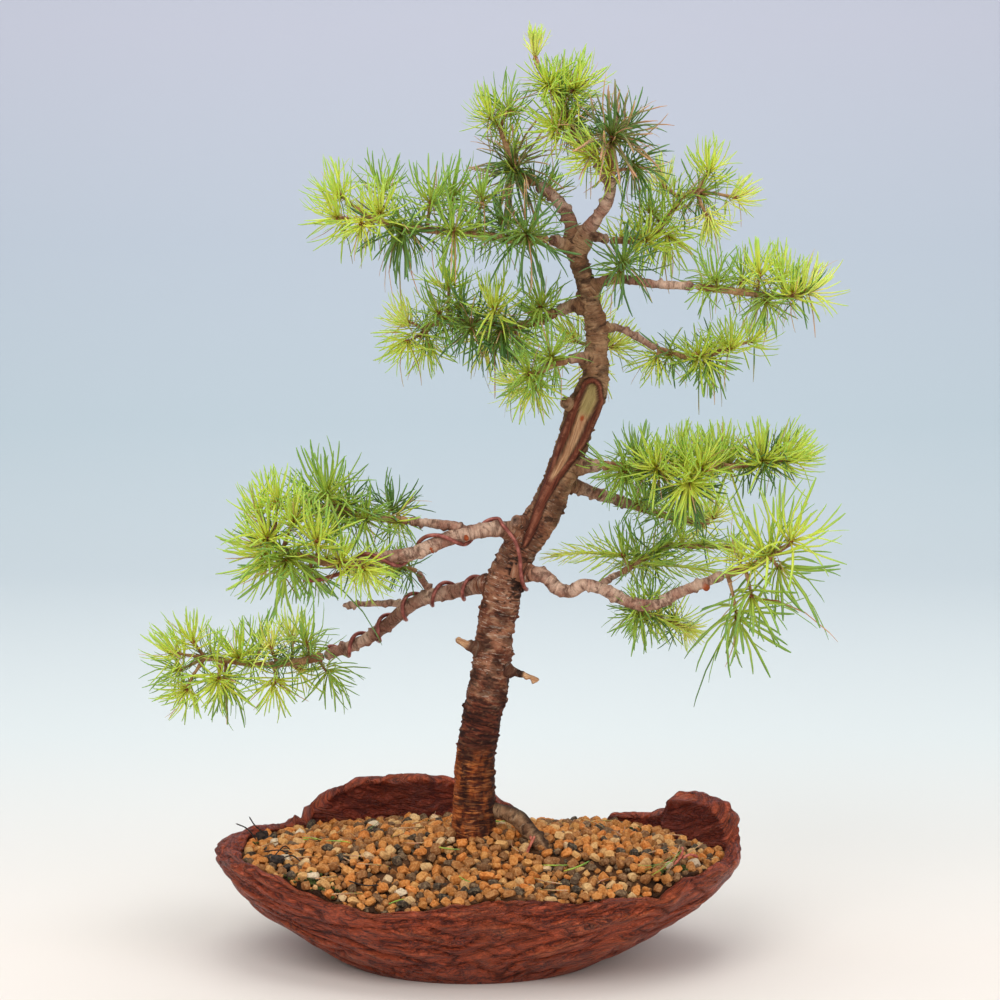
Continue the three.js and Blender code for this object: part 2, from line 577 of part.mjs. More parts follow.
// Where each tuft of a spray sits, the twig that carries it and the way it faces
function tuftsOf({ core, tufts }) {
  const curve = limbCurve(core);
  return tufts.map(([x, y, z, reach = NEEDLE.length]) => {
    const spot = new THREE.Vector3(x, y, z);
    const root = nearestOn(curve, spot);
    const outward = spot.clone().sub(root);
    if (outward.length() < 1) outward.copy(curve.getTangent(1));
    const back = outward.clone().normalize().negate();
    outward.normalize().add(new THREE.Vector3(0, 0, NEEDLE.lift)).normalize();
    return { spot, root, reach, outward, back };
  });
}

// The tip of a needle on a bud's face, clear of other pieces and of its own spray, or null
function needleOn(tuft, normal, others, own, random) {
  const { spot, reach, outward } = tuft;
  for (let attempt = 0; attempt < NEEDLE.tries; attempt += 1) {
    const stray = NEEDLE.stray + NEEDLE.strayPerTry * attempt;
    const jitter = new THREE.Vector3(random() - 0.5, random() - 0.5, random() - 0.5);
    const direction = normal.clone().addScaledVector(outward, NEEDLE.sweep);
    direction.addScaledVector(jitter, 2 * stray).normalize();
    const share = lerp(NEEDLE.shortest, NEEDLE.longest, random());
    const to = spot.clone().addScaledVector(direction, reach * share);
    const needle = { from: spot, to, radius: NEEDLE.radius };
    const slim = { from: spot.clone().lerp(to, 0.15), to, radius: NEEDLE.radius * 0.6 };
    const clear = others.every((other) => roomBetween(needle, other) > CLEARANCE);
    if (clear && own.every((other) => roomBetween(slim, other) > NEEDLE.ownRoom)) return needle;
  }
  return null;
}

function shuffled(items, random) {
  return items.map((item) => [random(), item]).sort(([a], [b]) => a - b).map(([, item]) => item);
}

// A bud on its twig, with needles drawn out of most faces that don't look back along the twig
function growTuft(tuft, others, own, random) {
  const { spot, root, back } = tuft;
  const corners = new THREE.IcosahedronGeometry(BUD_RADIUS).attributes.position;
  const cornerAt = (n) => new THREE.Vector3().fromBufferAttribute(corners, n);
  const faceAt = (n) => [cornerAt(3 * n), cornerAt(3 * n + 1), cornerAt(3 * n + 2)];
  const faces = Array.from({ length: corners.count / 3 }, (unused, n) => faceAt(n));
  const normalOf = ([a, b, c]) => a.clone().add(b).add(c).normalize();
  const turn = new THREE.Quaternion().setFromUnitVectors(normalOf(faces[0]), back);
  turn.premultiply(new THREE.Quaternion().setFromAxisAngle(back, 2 * Math.PI * random()));
  faces.flat().forEach((corner) => corner.applyQuaternion(turn));

  const skin = [];
  const needles = [];
  const [twigFace, ...rest] = faces;
  const ring = twigFace.map((corner) => corner.clone().add(spot));
  const twigLength = spot.distanceTo(root) - BUD_RADIUS;
  if (twigLength > 0) {
    const end = ring.map((corner) => corner.clone().addScaledVector(back, twigLength));
    ring.forEach((corner, i) => {
      const next = (i + 1) % ring.length;
      skin.push(corner, ring[next], end[next], corner, end[next], end[i]);
    });
    skin.push(...end);
  } else {
    skin.push(...ring);
  }
  for (const face of shuffled(rest, random)) {
    const normal = normalOf(face);
    const [a, b, c] = face.map((corner) => corner.clone().add(spot));
    const open = needles.length < NEEDLE.perTuft && normal.angleTo(back) > NEEDLE.twigAngle;
    const needle = open ? needleOn(tuft, normal, others, own, random) : null;
    if (needle) {
      skin.push(a, b, needle.to, b, c, needle.to, c, a, needle.to);
      needles.push(needle);
    } else {
      skin.push(a, b, c);
    }
  }
  return { body: solidOf(new THREE.BufferGeometry().setFromPoints(skin)), needles };
}

function makeSpray({ core }, tufts, cleared) {
  const grown = join([limb(core, 5, 2 * (core.length - 1) - 1), ...tufts]);
  return mainBody(cleared.reduce((rest, keepOut) => rest.subtract(keepOut), grown));
}

// Training wire

// Spots of a coil round a limb that reaches to the left, from its top at one share of its
// length to another share
function coil(path, turns, from, to) {
  const curve = limbCurve(path);
  const perTurn = 9;
  const count = Math.round(Math.abs(turns) * perTurn);
  return Array.from({ length: count + 1 }, (unused, i) => {
    const along = curve.getUtoTmapping(lerp(from, to, i / count));
    const tangent = curve.getTangent(along);
    const toViewer = new THREE.Vector3(0, 0, 1).cross(tangent).normalize();
    const upward = tangent.clone().cross(toViewer);
    const angle = (2 * Math.PI * turns * i) / count;
    const reach = (radiusAt(path, along) + WIRE.radius + CLEARANCE) / Math.cos(Math.PI / perTurn);
    return curve.getPoint(along)
      .addScaledVector(upward, reach * Math.cos(angle))
      .addScaledVector(toViewer, reach * Math.sin(angle));
  });
}

function wireCurve() {
  return new THREE.CatmullRomCurve3([
    ...coil(LOW_LEFT_WOOD, WIRE_TURNS.lowLeft, 0.09, 0.97).reverse(),
    ...WIRE_ROUND_TRUNK.map(vector),
    ...coil(MAIN_LEFT_WOOD, WIRE_TURNS.mainLeft, 0.17, 0.95),
    ...WIRE_TAIL.map(vector),
  ], false, 'centripetal');
}

function makeWire(curve) {
  const section = new THREE.Shape();
  for (let i = 0; i < WIRE.sides; i += 1) {
    const angle = (2 * Math.PI * i) / WIRE.sides;
    const spot = [WIRE.radius * Math.cos(angle), WIRE.radius * Math.sin(angle)];
    if (i) section.lineTo(...spot);
    else section.moveTo(...spot);
  }
  section.closePath();
  const steps = Math.round(curve.getLength() / WIRE.stepLength);
  return solidOf(new THREE.ExtrudeGeometry(section, { steps, extrudePath: curve }));
}

// The whole object

const LOOKS = {
  pot: { color: '#5d2b24', roughness: 0.72, metalness: 0 },
  substrate: { color: '#bd8a4e', roughness: 0.95, metalness: 0 },
  drainMesh: { color: '#1d1f1e', roughness: 0.6, metalness: 0 },
  wood: { color: '#8d6049', roughness: 0.88, metalness: 0 },
  wire: { color: '#7a4037', roughness: 0.42, metalness: 0.7 },
  needles: { color: '#8fb648', roughness: 0.6, metalness: 0 },
};

const larch = new THREE.Group();

const trunk = { path: TRUNK, sides: TRUNK_SIDES, steps: TRUNK_STEPS };
const [surfaceRoot] = LIMBS;
larch.add(meshOf('pot', makePot(), LOOKS.pot));
larch.add(meshOf('substrate', makeSubstrate([trunk, surfaceRoot]), LOOKS.substrate));
larch.add(meshOf('drain_mesh_left', makeDrainMesh(-POT.drainX), LOOKS.drainMesh));
larch.add(meshOf('drain_mesh_right', makeDrainMesh(POT.drainX), LOOKS.drainMesh));
larch.add(meshOf('wood', makeWood(), LOOKS.wood));

const wire = wireCurve();
larch.add(meshOf('training_wire', makeWire(wire), LOOKS.wire));

const branchStretches = LIMBS.flatMap(({ path, steps }) => stretches(path, 2 * steps));
const woodStretches = [...stretches(TRUNK, TRUNK_STEPS), ...branchStretches];
const wireSpots = wire.getSpacedPoints(200);
const wireStretches = wireSpots.slice(1).map((to, i) => {
  return { from: wireSpots[i], to, radius: WIRE.radius };
});
const woodWithRoom = LIMBS.map(({ path, sides, steps }) => {
  return limb(path, sides, steps, { grow: CLEARANCE });
});

const random = seeded(20260611);
const sprays = Object.entries(SPRAYS).map(([name, spray]) => {
  const tufts = tuftsOf(spray);
  const twigs = tufts.map(({ root, spot }) => ({ from: root, to: spot, radius: BUD_RADIUS }));
  return { name, spray, tufts, taken: [...stretches(spray.core, 6), ...twigs] };
});
for (const { name, spray, tufts, taken } of sprays) {
  const others = sprays.filter((one) => one.name !== name).flatMap((one) => one.taken);
  others.push(...woodStretches, ...wireStretches);
  const grown = [];
  for (const tuft of tufts) {
    const near = ({ from }) => from.distanceTo(tuft.spot) < 3 * tuft.reach;
    const ownTwig = ({ to }) => to === tuft.spot;
    const own = taken.filter((one) => near(one) && !ownTwig(one));
    const { body, needles } = growTuft(tuft, others.filter(near), own, random);
    grown.push(body);
    taken.push(...needles);
  }
  larch.add(meshOf(name, makeSpray(spray, grown, woodWithRoom), LOOKS.needles));
}

export default larch;
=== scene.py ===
"""A european larch bonsai in its crescent pot: bark, needles, gravel, clay and training wire.

Laid out as an add-on and run as a script. Lists of places are in millimetres, in the frame of
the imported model: +X to the right, +Y away from the viewer, +Z up.
"""

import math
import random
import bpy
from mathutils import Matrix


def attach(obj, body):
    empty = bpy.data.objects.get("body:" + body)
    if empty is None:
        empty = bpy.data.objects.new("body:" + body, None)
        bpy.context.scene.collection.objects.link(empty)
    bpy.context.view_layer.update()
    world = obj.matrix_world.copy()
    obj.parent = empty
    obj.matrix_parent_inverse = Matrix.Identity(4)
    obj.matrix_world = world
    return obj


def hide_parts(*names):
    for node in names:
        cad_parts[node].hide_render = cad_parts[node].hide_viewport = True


bl_info = {
    "name": "Larch Bonsai",
    "version": (1, 0, 0),
    "blender": (4, 5, 0),
    "location": "3D View > Sidebar > Larch",
    "description": "Builds a small trained larch with its pot, gravel and wire",
    "category": "Add Mesh",
}

from itertools import product

import bmesh
import bpy
import numpy as np
from bpy.props import FloatProperty, FloatVectorProperty, IntProperty, PointerProperty
from bpy.types import Operator, Panel, PropertyGroup
from mathutils import Matrix, Vector, noise

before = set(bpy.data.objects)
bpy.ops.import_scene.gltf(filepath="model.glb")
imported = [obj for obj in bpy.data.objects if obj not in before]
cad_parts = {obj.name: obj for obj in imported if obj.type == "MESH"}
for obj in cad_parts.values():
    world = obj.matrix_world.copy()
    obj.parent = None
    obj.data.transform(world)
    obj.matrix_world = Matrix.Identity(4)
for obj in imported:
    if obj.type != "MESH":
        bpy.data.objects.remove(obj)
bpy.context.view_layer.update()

MM = 0.001
UPWARD = Vector((0, 0, 1))
BODY = "root"
BAKE_MAP = "OFBake"

# Pot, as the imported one: ellipses at the foot and the rim, and holes in its floor
FOOT_HALF_WIDTH = 78
FOOT_HALF_DEPTH = 60
RIM_HALF_WIDTH = 156
RIM_HALF_DEPTH = 90
RIM_SHIFT = 5
POT_FLOOR = 9
DRAIN_X = 34
DRAIN_RADIUS = 6
DRAIN_SIDES = 32

# The rim: angle in degrees counterclockwise from the right end, height and wall
RIM = [(0, 68, 10), (8, 81, 12), (17, 87, 14), (27, 88, 15), (35, 86, 14), (41, 73, 11),
       (48, 68, 9), (57, 66, 8), (60, 60, 8), (70, 58, 8), (79, 58, 8), (84, 69, 8), (89, 78, 9),
       (97, 85, 9), (106, 88, 10), (119, 88, 10), (126, 83, 9), (133, 74, 8), (136, 65, 9),
       (138.5, 68, 9), (141, 65, 9), (161, 67, 11), (175, 66, 15), (188, 65, 14), (200, 65, 11),
       (217, 63, 9), (229, 57, 8), (238, 51, 8), (246, 48, 8), (256, 50, 8), (264, 54, 8),
       (277, 58, 8), (292, 54, 8), (301, 55, 8), (312, 52, 8), (322, 61, 8), (340, 65, 9),
       (360, 68, 10)]

# Mesh of the pot: the share of its height where the wall ends and the rim begins, and its rows
RIM_START = 0.965
OUTSIDE_ROWS = 74
RIM_ROWS = 9
INSIDE_ROWS = 30
POT_COLUMNS = 520

# Gravel: each grain is tried at a few places, and stays where it overlaps no other much. The
# finer bed under it lies in rows, a share of the spacing apart. Pale grains are x, y, radius.
PEBBLE_KINDS = 14
GRAINS = 2400
PLACES_TRIED = 12
CLOSEST = 0.86
ROOM_FOR_TRUNK = 11.5
ROW_PITCH = 0.866
GRAVEL_EDGES = math.radians(42)
COAL_EDGES = math.radians(30)
PALE_GRAINS = [(130, -31, 4.2), (115, -37, 3.6), (-108, -24, 3.6), (-90, -52, 3.6), (-40, -58, 3.8),
               (-118, 12, 3.6), (-104, 30, 3.4), (-60, 44, 3.6)]

# Soil: its level at the rim, how far it stays below a low rim, its level at the middle, and
# how steeply it rises
SOIL_EDGE = 59
SOIL_FREEBOARD = 2.5
SOIL_MOUND = 75
SOIL_SWEEP = 1.4

# Trunk from the stump in the soil to the fork: x, y, z, radius
TRUNK = [(2, 0, 40, 10), (2, 0, 60, 12.4), (2, 0, 76, 12.6), (2, 0, 96, 12), (2, 0, 114, 11.8),
         (5, 0, 137, 11.4), (9, 1, 157, 11.7), (12, 2, 172, 11.4), (14, 3, 192, 10.6),
         (18, 3, 213, 11), (23, 3, 230, 10.6), (31, 2, 247, 10.3), (41, 1, 262, 10),
         (50, 0, 280, 8.8), (58, -1, 302, 9), (64, -2, 323, 9.6), (69, -3, 334, 9.6),
         (72, -3, 345, 7.6), (72, -3, 357, 6.4), (72, -2, 372, 6), (69, -2, 386, 5.4),
         (66, -2, 398, 5.3), (62, -2, 410, 5.8), (60, -2, 421, 5.4)]

# Mesh of the wood: the length of its steps, the radius of a thick limb, and sides round
TRUNK_STEP = 0.8
TRUNK_SIDES = 96
LIMB_STEP = 0.9
THICK_LIMB = 3.4
THICK_SIDES = 28
THIN_SIDES = 20
CORE_SIDES = 12
TWIG_SIDES = 8

# The bark's colours change with height
BARK_LOW = 60
BARK_SPAN = 360

# The scar on the trunk's front: x, z, half width of the bare wood, half width with its rims
SCAR = [(69.5, 338, 3.2, 6.4), (68.7, 332, 4.8, 8.4), (66.2, 325, 4.4, 9), (63.6, 319, 3.6, 9),
        (59.9, 310, 3.3, 8.4), (55.9, 302, 2.8, 7), (52.2, 295, 2, 5.6), (47.9, 287, 1, 4.2),
        (41.2, 273, 0.2, 2.8), (36.7, 260, 0.2, 2.7), (33.2, 251, 0.2, 2.4),
        (31.2, 246.5, 0.2, 1.4)]
SCAR_WOOD_END = 285
RESIN_SPOT = (64.6, 320.5)

# Dark patches on the trunk's front: x, z, half width, half height, strength
# Most are darker bark; the two at x 27, z 228 and x 31, z 236, beside the wire, are painted shade
DARK_PATCHES = [(27, 228, 6.5, 17, 0.9), (8, 188, 5, 5, 0.7), (15.5, 178, 3.8, 2.4, 0.75),
                (10.5, 167, 5, 6, 0.6), (1, 169, 3.5, 6, 0.7), (17, 158, 5, 7, 0.5),
                (2, 128, 9, 7, 0.5), (6, 85, 1.6, 6, 0.5), (6, 146, 9, 7, 0.45),
                (15, 206, 3, 2.2, 0.5), (36, 246, 5, 9, 0.55), (-4, 118, 3, 8, 0.4),
                (49, 268, 7, 10, 0.4), (31, 236, 4, 5, 0.65)]

LOW_LEFT = [(11, 4, 222, 4.6), (-5, 18, 216, 4.4), (-25, 28, 210, 4.2), (-39, 35, 202, 4.1),
            (-49, 40, 192, 4), (-63, 46, 181, 3.8), (-78, 52, 173, 3.4), (-90, 56, 168, 3)]
MAIN_LEFT = [(30, 0, 248, 4.8), (20, -4, 255, 4.4), (8, -10, 256, 4.3), (-9, -15, 253, 4.2),
             (-19, -18, 250, 4.2), (-34, -22, 244, 4), (-51, -25, 242, 3.4), (-66, -27, 239, 3)]

# Bare wood by name: its path as x, y, z, radius
LIMBS = {
    "root": [
        (8, 1, 86, 4.4), (18, -3, 86, 4.1), (27.5, -7, 83.3, 4.7), (34, -11, 77.5, 4.7),
        (40, -15, 71, 4.3), (46, -18, 62, 3)],
    "low_left": LOW_LEFT,
    "low_left_side": [(-23, 28, 211, 2.2), (-28, 29, 218, 2), (-32, 29, 225, 1.8)],
    "low_left_twig": [
        (-38, 34, 204, 2.2), (-50, 39, 204, 2), (-64, 42, 203, 1.8), (-78, 46, 201, 1.4)],
    "main_left": MAIN_LEFT,
    "main_left_top": [
        (0, -13, 255, 3), (-8, -13, 258, 2.8), (-21, -12, 260, 2.7), (-36, -8, 261, 2.5)],
    "low_right": [
        (24, -2, 232, 4.8), (33, -4, 230, 4.3), (42, -9, 229, 4), (50, -13, 223, 3.8),
        (58, -16, 221, 3.6), (66, -18, 225, 3.6), (76, -20, 223, 3.5), (92, -24, 216, 3.4),
        (105, -26, 215, 3.3), (121, -28, 223, 3.1), (133, -30, 228, 2.9), (145, -33, 234, 2.7)],
    "low_right_side": [(74, -19, 223, 2.3), (80, -9, 227, 2), (88, 2, 229, 1.8)],
    "mid_right": [(60, 1, 292, 4), (67, -6, 293, 3.8), (75, -13, 294, 3.6)],
    "back_right": [(54, 4, 282, 4), (66, 12, 277, 3.7), (80, 23, 271, 3.4), (96, 34, 264, 3)],
    "thin_right": [
        (72, -2, 370, 2.6), (78, 0, 372, 2.2), (84, 4, 372, 2), (98, 10, 365, 1.9),
        (108, 13, 359, 1.9)],
    "long_right": [
        (67, -3, 391, 3), (74, -5, 398, 2.8), (84, -8, 401, 2.6), (108, -12, 398, 2.4),
        (128, -14, 397, 2.2)],
    "mid_left": [(68, -2, 384, 3.5), (60, 0, 385, 3.4), (50, 6, 381, 3.1)],
    "short_left": [(70, -4, 353, 3.2), (63, -11, 356, 3), (56, -16, 355, 2.7)],
    "behind": [(70, 0, 357, 2.6), (69, 13, 359, 2.3), (70, 20, 359, 2)],
    "upper_left": [(61, -2, 416, 3.4), (54, -5, 420, 3), (45, -10, 424, 2.7)],
    "left_fork": [(60, -2, 416, 4.8), (57, 3, 434, 3.7), (49, 8, 446, 3.3), (38, 12, 454, 3)],
    "right_fork": [
        (60, -2, 414, 4.6), (66, -4, 427, 4), (73, -8, 437, 3.4), (79, -10, 447, 3.2),
        (80, -13, 459, 3)],
    "leader": [(79, -11, 452, 2.4), (72, -6, 468, 2.3), (62, 0, 480, 2.1)],
    "right_of_fork": [(61, -2, 418, 3.2), (68, 0, 425, 2.7), (80, 4, 422, 2.2)],
    "stub_left": [(9, 0, 184, 3.4), (0, -2, 186, 2.7), (-9, -5, 191, 2.2)],
    "stub_right": [(16, -2, 175, 3), (26, -5, 171, 2.2), (40, -8, 167, 1.3)],
    "scar_knob": [(61, -4, 327, 2.6), (56.5, -8, 329, 3), (53, -12, 331, 3.1)],
    "cut_knot": [(31, -3, 258, 3.6), (25.5, -10.5, 262, 3)],
    "orange_knob": [(133, -29, 228, 2.4), (136, -34, 225.5, 2.2)],
    "orange_bud_inner": [(-1, -13, 254, 2), (-3, -18.5, 252, 1.6)],
    "orange_bud_outer": [(-21, -19, 249, 2), (-24, -23, 246.5, 1.6)],
}

# Limbs that don't end in needles or a plain knob
ENDS = {
    "buried": ("root",),
    "broken": ("stub_left", "stub_right"),
    "cut": ("cut_knot",),
    "orange": ("orange_knob", "orange_bud_inner", "orange_bud_outer"),
}

# How young a tuft's needles are, and how far it turns up or down
DRY, DEEP_BROWN, DEEP, MID, YOUNG, PALE = 0.04, 0.16, 0.3, 0.5, 0.78, 0.96
UPRIGHT, UP, LEVEL, DOWN = 2.5, 1.3, 0.3, -0.9

# Leafy ends. Fullness scales how many needles they have. The core is x, y, z, radius. Tufts
# are x, y, z, needle length, age and turn. Shoots are three spots, the needle lengths at the
# base and the tip, and age. Strays are single thin needles: two spots, a bend and age.
SPRAYS = {
    "low_left": {
        "fullness": 0.85,
        "core": [(-90, 56, 168, 2.6), (-104, 60, 164, 2.3), (-125, 64, 161, 2),
                 (-148, 68, 162, 1.7), (-170, 66, 166, 1.3)],
        "tufts": [(-143, 64, 166, 27, YOUNG, UP), (-171, 62, 177, 22, YOUNG, UP),
                  (-182, 62, 169, 25, YOUNG, LEVEL), (-182, 75, 155, 25, MID, LEVEL),
                  (-176, 62, 144, 23, YOUNG, LEVEL), (-155, 56, 153, 27, YOUNG, LEVEL),
                  (-153, 76, 147, 27, MID, DOWN), (-131, 80, 170, 25, MID, UP),
                  (-122, 54, 175, 20, PALE, UP), (-111, 72, 178, 20, PALE, UP),
                  (-101, 62, 176, 25, MID, UP), (-121, 56, 150, 24, YOUNG, LEVEL),
                  (-106, 74, 155, 21, PALE, LEVEL), (-88, 64, 155, 25, MID, DOWN)],
    },
    "low_left_side": {
        "core": [(-32, 29, 225, 1.5), (-41, 30, 227, 1.4), (-54, 33, 226, 1.3),
                 (-66, 37, 223, 1)],
        "tufts": [(-42, 30, 228, 17, MID, UP), (-68, 38, 222, 15, PALE, LEVEL)],
        "shoots": [((-40, 30, 228), (-55, 34, 226), (-72, 38, 223), 18, 9, PALE)],
    },
    "main_left": {
        "fullness": 0.9,
        "strays": [((-84, -36, 233), (-50, -38, 196), 2, DEEP)],
        "core": [(-66, -27, 239, 2.7), (-82, -28, 240, 2.4), (-96, -26, 243, 2),
                 (-108, -25, 247, 1.6), (-116, -22, 253, 1.3)],
        "tufts": [(-87, -41, 256, 29, YOUNG, UP), (-74, -35, 243, 22, YOUNG, LEVEL),
                  (-105, -36, 241, 35, MID, DOWN), (-119, -20, 242, 31, YOUNG, LEVEL),
                  (-116, -37, 256, 29, YOUNG, LEVEL), (-122, -12, 268, 24, YOUNG, UP),
                  (-110, -28, 277, 22, YOUNG, UP), (-100, -37, 267, 25, YOUNG, UP),
                  (-92, -18, 232, 22, MID, DOWN), (-60, -35, 237, 24, YOUNG, DOWN)],
    },
    "main_left_top": {
        "core": [(-36, -8, 261, 2.3), (-52, -4, 262, 2.1), (-66, -6, 264, 1.9),
                 (-80, -10, 271, 1.6)],
        "tufts": [(-46, 3, 267, 25, DEEP, UP), (-60, -16, 264, 22, MID, LEVEL),
                  (-71, -2, 270, 24, DEEP, UP), (-83, -18, 279, 33, MID, UP),
                  (-93, 0, 270, 23, MID, LEVEL), (-80, 6, 262, 22, MID, LEVEL)],
    },
    "low_right": {
        "fullness": 0.42,
        "strays": [((151, -40, 208), (124, -42, 161), 1, DEEP),
                   ((176, -32, 236), (206, -36, 199), 2, MID),
                   ((168, -41, 247), (180, -46, 294), 1, MID),
                   ((168, -41, 247), (191, -44, 279), 1, MID),
                   ((152, -40, 210), (133, -44, 176), 2, MID),
                   ((160, -44, 222), (196, -46, 205), 2, MID),
                   ((184, -43, 256), (214, -46, 262), 1, YOUNG),
                   ((160, -44, 222), (206, -40, 196), 3, DRY)],
        "core": [(145, -33, 234, 2.4), (155, -36, 238, 2.2), (163, -38, 241, 2),
                 (171, -39, 246, 1.6), (183, -42, 254, 1.2)],
        "tufts": [(168, -41, 247, 38, YOUNG, UP), (182, -43, 256, 35, YOUNG, LEVEL),
                  (154, -32, 243, 26, YOUNG, UP), (160, -44, 222, 35, MID, DOWN),
                  (152, -40, 209, 37, MID, DOWN), (177, -32, 237, 38, MID, DOWN)],
    },
    "low_right_feather": {
        "fullness": 0.7,
        "core": [(88, 2, 229, 1.7), (98, 12, 233, 1.8), (113, 22, 240, 1.6), (135, 30, 240, 1.3),
                 (156, 36, 238, 1)],
        "tufts": [(89, 9, 239, 21, MID, UP), (99, 20, 235, 25, MID, LEVEL),
                  (157, 36, 238, 12, YOUNG, LEVEL)],
        "shoots": [((88, 9, 238), (68, 6, 240), (46, 3, 238.5), 20, 8, PALE),
                   ((97, 13, 234), (122, 26, 242), (158, 36, 238), 21, 9, YOUNG),
                   ((98, 12, 233), (123, 12, 231), (148, 15, 226), 20, 9, YOUNG)],
    },
    "low_right_under": {
        "core": [(98, -24, 214.5, 1.7), (99, -12, 209, 1.7), (110, 0, 202, 1.4), (126, 10, 195, 1)],
        "tufts": [(98, -8, 206, 23, MID, DOWN), (106, 14, 212, 20, MID, LEVEL),
                  (128, 12, 193, 15, PALE, DOWN)],
        "shoots": [((100, -8, 208), (112, 1, 200), (131, 13, 192), 21, 11, PALE)],
    },
    "mid_right": {
        "fullness": 1.3,
        "core": [(75, -13, 294, 2.8), (90, -17, 294, 2.5), (117, -24, 294, 2.2),
                 (142, -26, 295, 1.8), (166, -26, 297, 1.4), (180, -25, 299, 1)],
        "tufts": [(88, -22, 291, 22, MID, LEVEL), (106, -31, 296, 24, YOUNG, LEVEL),
                  (97, -10, 300, 21, MID, UP), (122, -12, 300, 23, YOUNG, UP),
                  (131, -36, 297, 26, YOUNG, UP), (124, -38, 288, 27, YOUNG, LEVEL),
                  (143, -19, 301, 23, YOUNG, UP), (149, -11, 295, 25, YOUNG, LEVEL),
                  (124, -16, 280, 26, DEEP, DOWN), (166, -28, 300, 25, YOUNG, LEVEL),
                  (182, -25, 300, 25, YOUNG, LEVEL), (110, -8, 289, 22, MID, LEVEL)],
        "shoots": [((166, -27, 299), (177, -26, 301), (191, -25, 303), 21, 12, PALE)],
    },
    "back_right": {
        "core": [(96, 34, 264, 2.6), (108, 42, 259, 2.3), (122, 48, 254, 1.9), (144, 56, 250, 1.3)],
        "tufts": [(103, 31, 267, 19, MID, UP), (120, 58, 256, 25, MID, LEVEL),
                  (139, 60, 248, 22, PALE, LEVEL), (146, 48, 256, 20, PALE, UP)],
    },
    "thin_right": {
        "fullness": 0.85,
        "core": [(108, 13, 359, 1.8), (122, 17, 355, 1.8), (138, 22, 355, 1.6),
                 (155, 27, 359, 1.2)],
        "tufts": [(108, 18, 353, 20, YOUNG, DOWN), (134, 18, 354, 25, YOUNG, LEVEL),
                  (140, 30, 350, 25, MID, DOWN), (151, 18, 360, 22, YOUNG, UP),
                  (166, 29, 363, 20, YOUNG, LEVEL)],
    },
    "long_right": {
        "fullness": 0.85,
        "core": [(128, -14, 397, 2), (145, -15, 395, 2), (168, -16, 392, 1.7),
                 (190, -15, 391, 1.2)],
        "tufts": [(140, -14, 401, 25, MID, UP), (156, -4, 402, 21, MID, UP),
                  (164, -23, 405, 23, YOUNG, UP), (178, -9, 403, 22, YOUNG, LEVEL),
                  (168, -20, 388, 22, MID, DOWN), (183, -21, 394, 23, YOUNG, LEVEL),
                  (192, -13, 395, 24, PALE, LEVEL)],
    },
    "long_right_base": {
        "core": [(85, -8.5, 403, 1.8), (87, -13, 409, 1.6)],
        "tufts": [(87, -15, 410, 27, DEEP, LEVEL)],
    },
    "mid_left": {
        "strays": [((14, 0, 364), (14, -2, 330), 2, DRY), ((25, 0, 362), (28, -2, 333), 3, DRY)],
        "core": [(50, 6, 381, 2.8), (38, 12, 375, 2.6), (22, 16, 372, 2.4), (-4, 18, 375, 2.1),
                 (-22, 21, 373, 1.8), (-30, 22, 364, 1.4)],
        "tufts": [(40, 2, 386, 25, MID, UP), (14, -4, 385, 25, YOUNG, LEVEL),
                  (-7, 19, 385, 22, MID, UP), (-13, 30, 396, 22, YOUNG, UP),
                  (-19, 6, 381, 22, MID, LEVEL), (-38, 18, 375, 20, PALE, LEVEL),
                  (-38, 14, 362, 22, YOUNG, DOWN), (-25, 32, 358, 21, YOUNG, DOWN),
                  (9, 32, 363, 25, PALE, LEVEL), (0, 4, 372, 26, DEEP, LEVEL),
                  (18, 6, 368, 27, DEEP, DOWN), (28, 28, 361, 22, YOUNG, DOWN)],
    },
    "short_left": {
        "core": [(56, -16, 355, 2.4), (47, -20, 353, 2.2), (36, -24, 347, 1.8)],
        "tufts": [(46, -22, 358, 25, MID, UP), (33, -31, 349, 22, MID, LEVEL),
                  (36, -16, 338, 22, YOUNG, DOWN), (26, -16, 342, 19, PALE, LEVEL)],
    },
    "behind": {
        "core": [(70, 20, 359, 1.8), (70, 34, 360, 1.6)],
        "tufts": [(59, 32, 364, 20, PALE, LEVEL), (84, 34, 359, 21, PALE, LEVEL),
                  (72, 42, 344, 21, PALE, DOWN), (73, 40, 376, 20, PALE, UP)],
    },
    "upper_left": {
        "strays": [((-40, -24, 426), (-50, -26, 392), 3, DRY),
                   ((-34, -24, 425), (-37, -26, 392), 2, DRY),
                   ((-20, -26, 424), (-24, -28, 398), 3, DRY)],
        "core": [(45, -10, 424, 2.5), (30, -13, 423, 2.3), (2, -16, 427, 2.1), (-22, -18, 429, 1.9),
                 (-44, -19, 432, 1.5), (-62, -18, 438, 1.1)],
        "tufts": [(-50, -30, 440, 23, YOUNG, LEVEL), (-75, -14, 450, 22, YOUNG, UP),
                  (-76, -22, 437, 24, YOUNG, LEVEL), (-61, -32, 432, 20, YOUNG, DOWN),
                  (-49, -8, 453, 22, MID, UP), (-38, -22, 428, 30, DEEP, DOWN),
                  (-22, -22, 446, 25, MID, UP), (-9, -29, 430, 25, MID, LEVEL),
                  (-10, -6, 450, 25, MID, UP), (7, -14, 448, 22, MID, UP),
                  (32, -22, 427, 30, DEEP, LEVEL), (19, -6, 434, 24, DEEP, UP)],
    },
    "left_fork": {
        "fullness": 1.2,
        "core": [(38, 12, 454, 2.7), (27, 15, 462, 2.3), (20, 17, 478, 1.7), (16, 19, 490, 1.3)],
        "tufts": [(25, 14, 463, 30, DEEP_BROWN, LEVEL), (11, 16, 494, 20, YOUNG, LEVEL),
                  (22, 26, 497, 22, MID, UP), (43, 21, 449, 22, MID, UP)],
    },
    "right_fork": {
        "fullness": 1.25,
        "core": [(80, -13, 459, 2.6), (80, -15, 468, 2.3), (80, -18, 478, 1.8)],
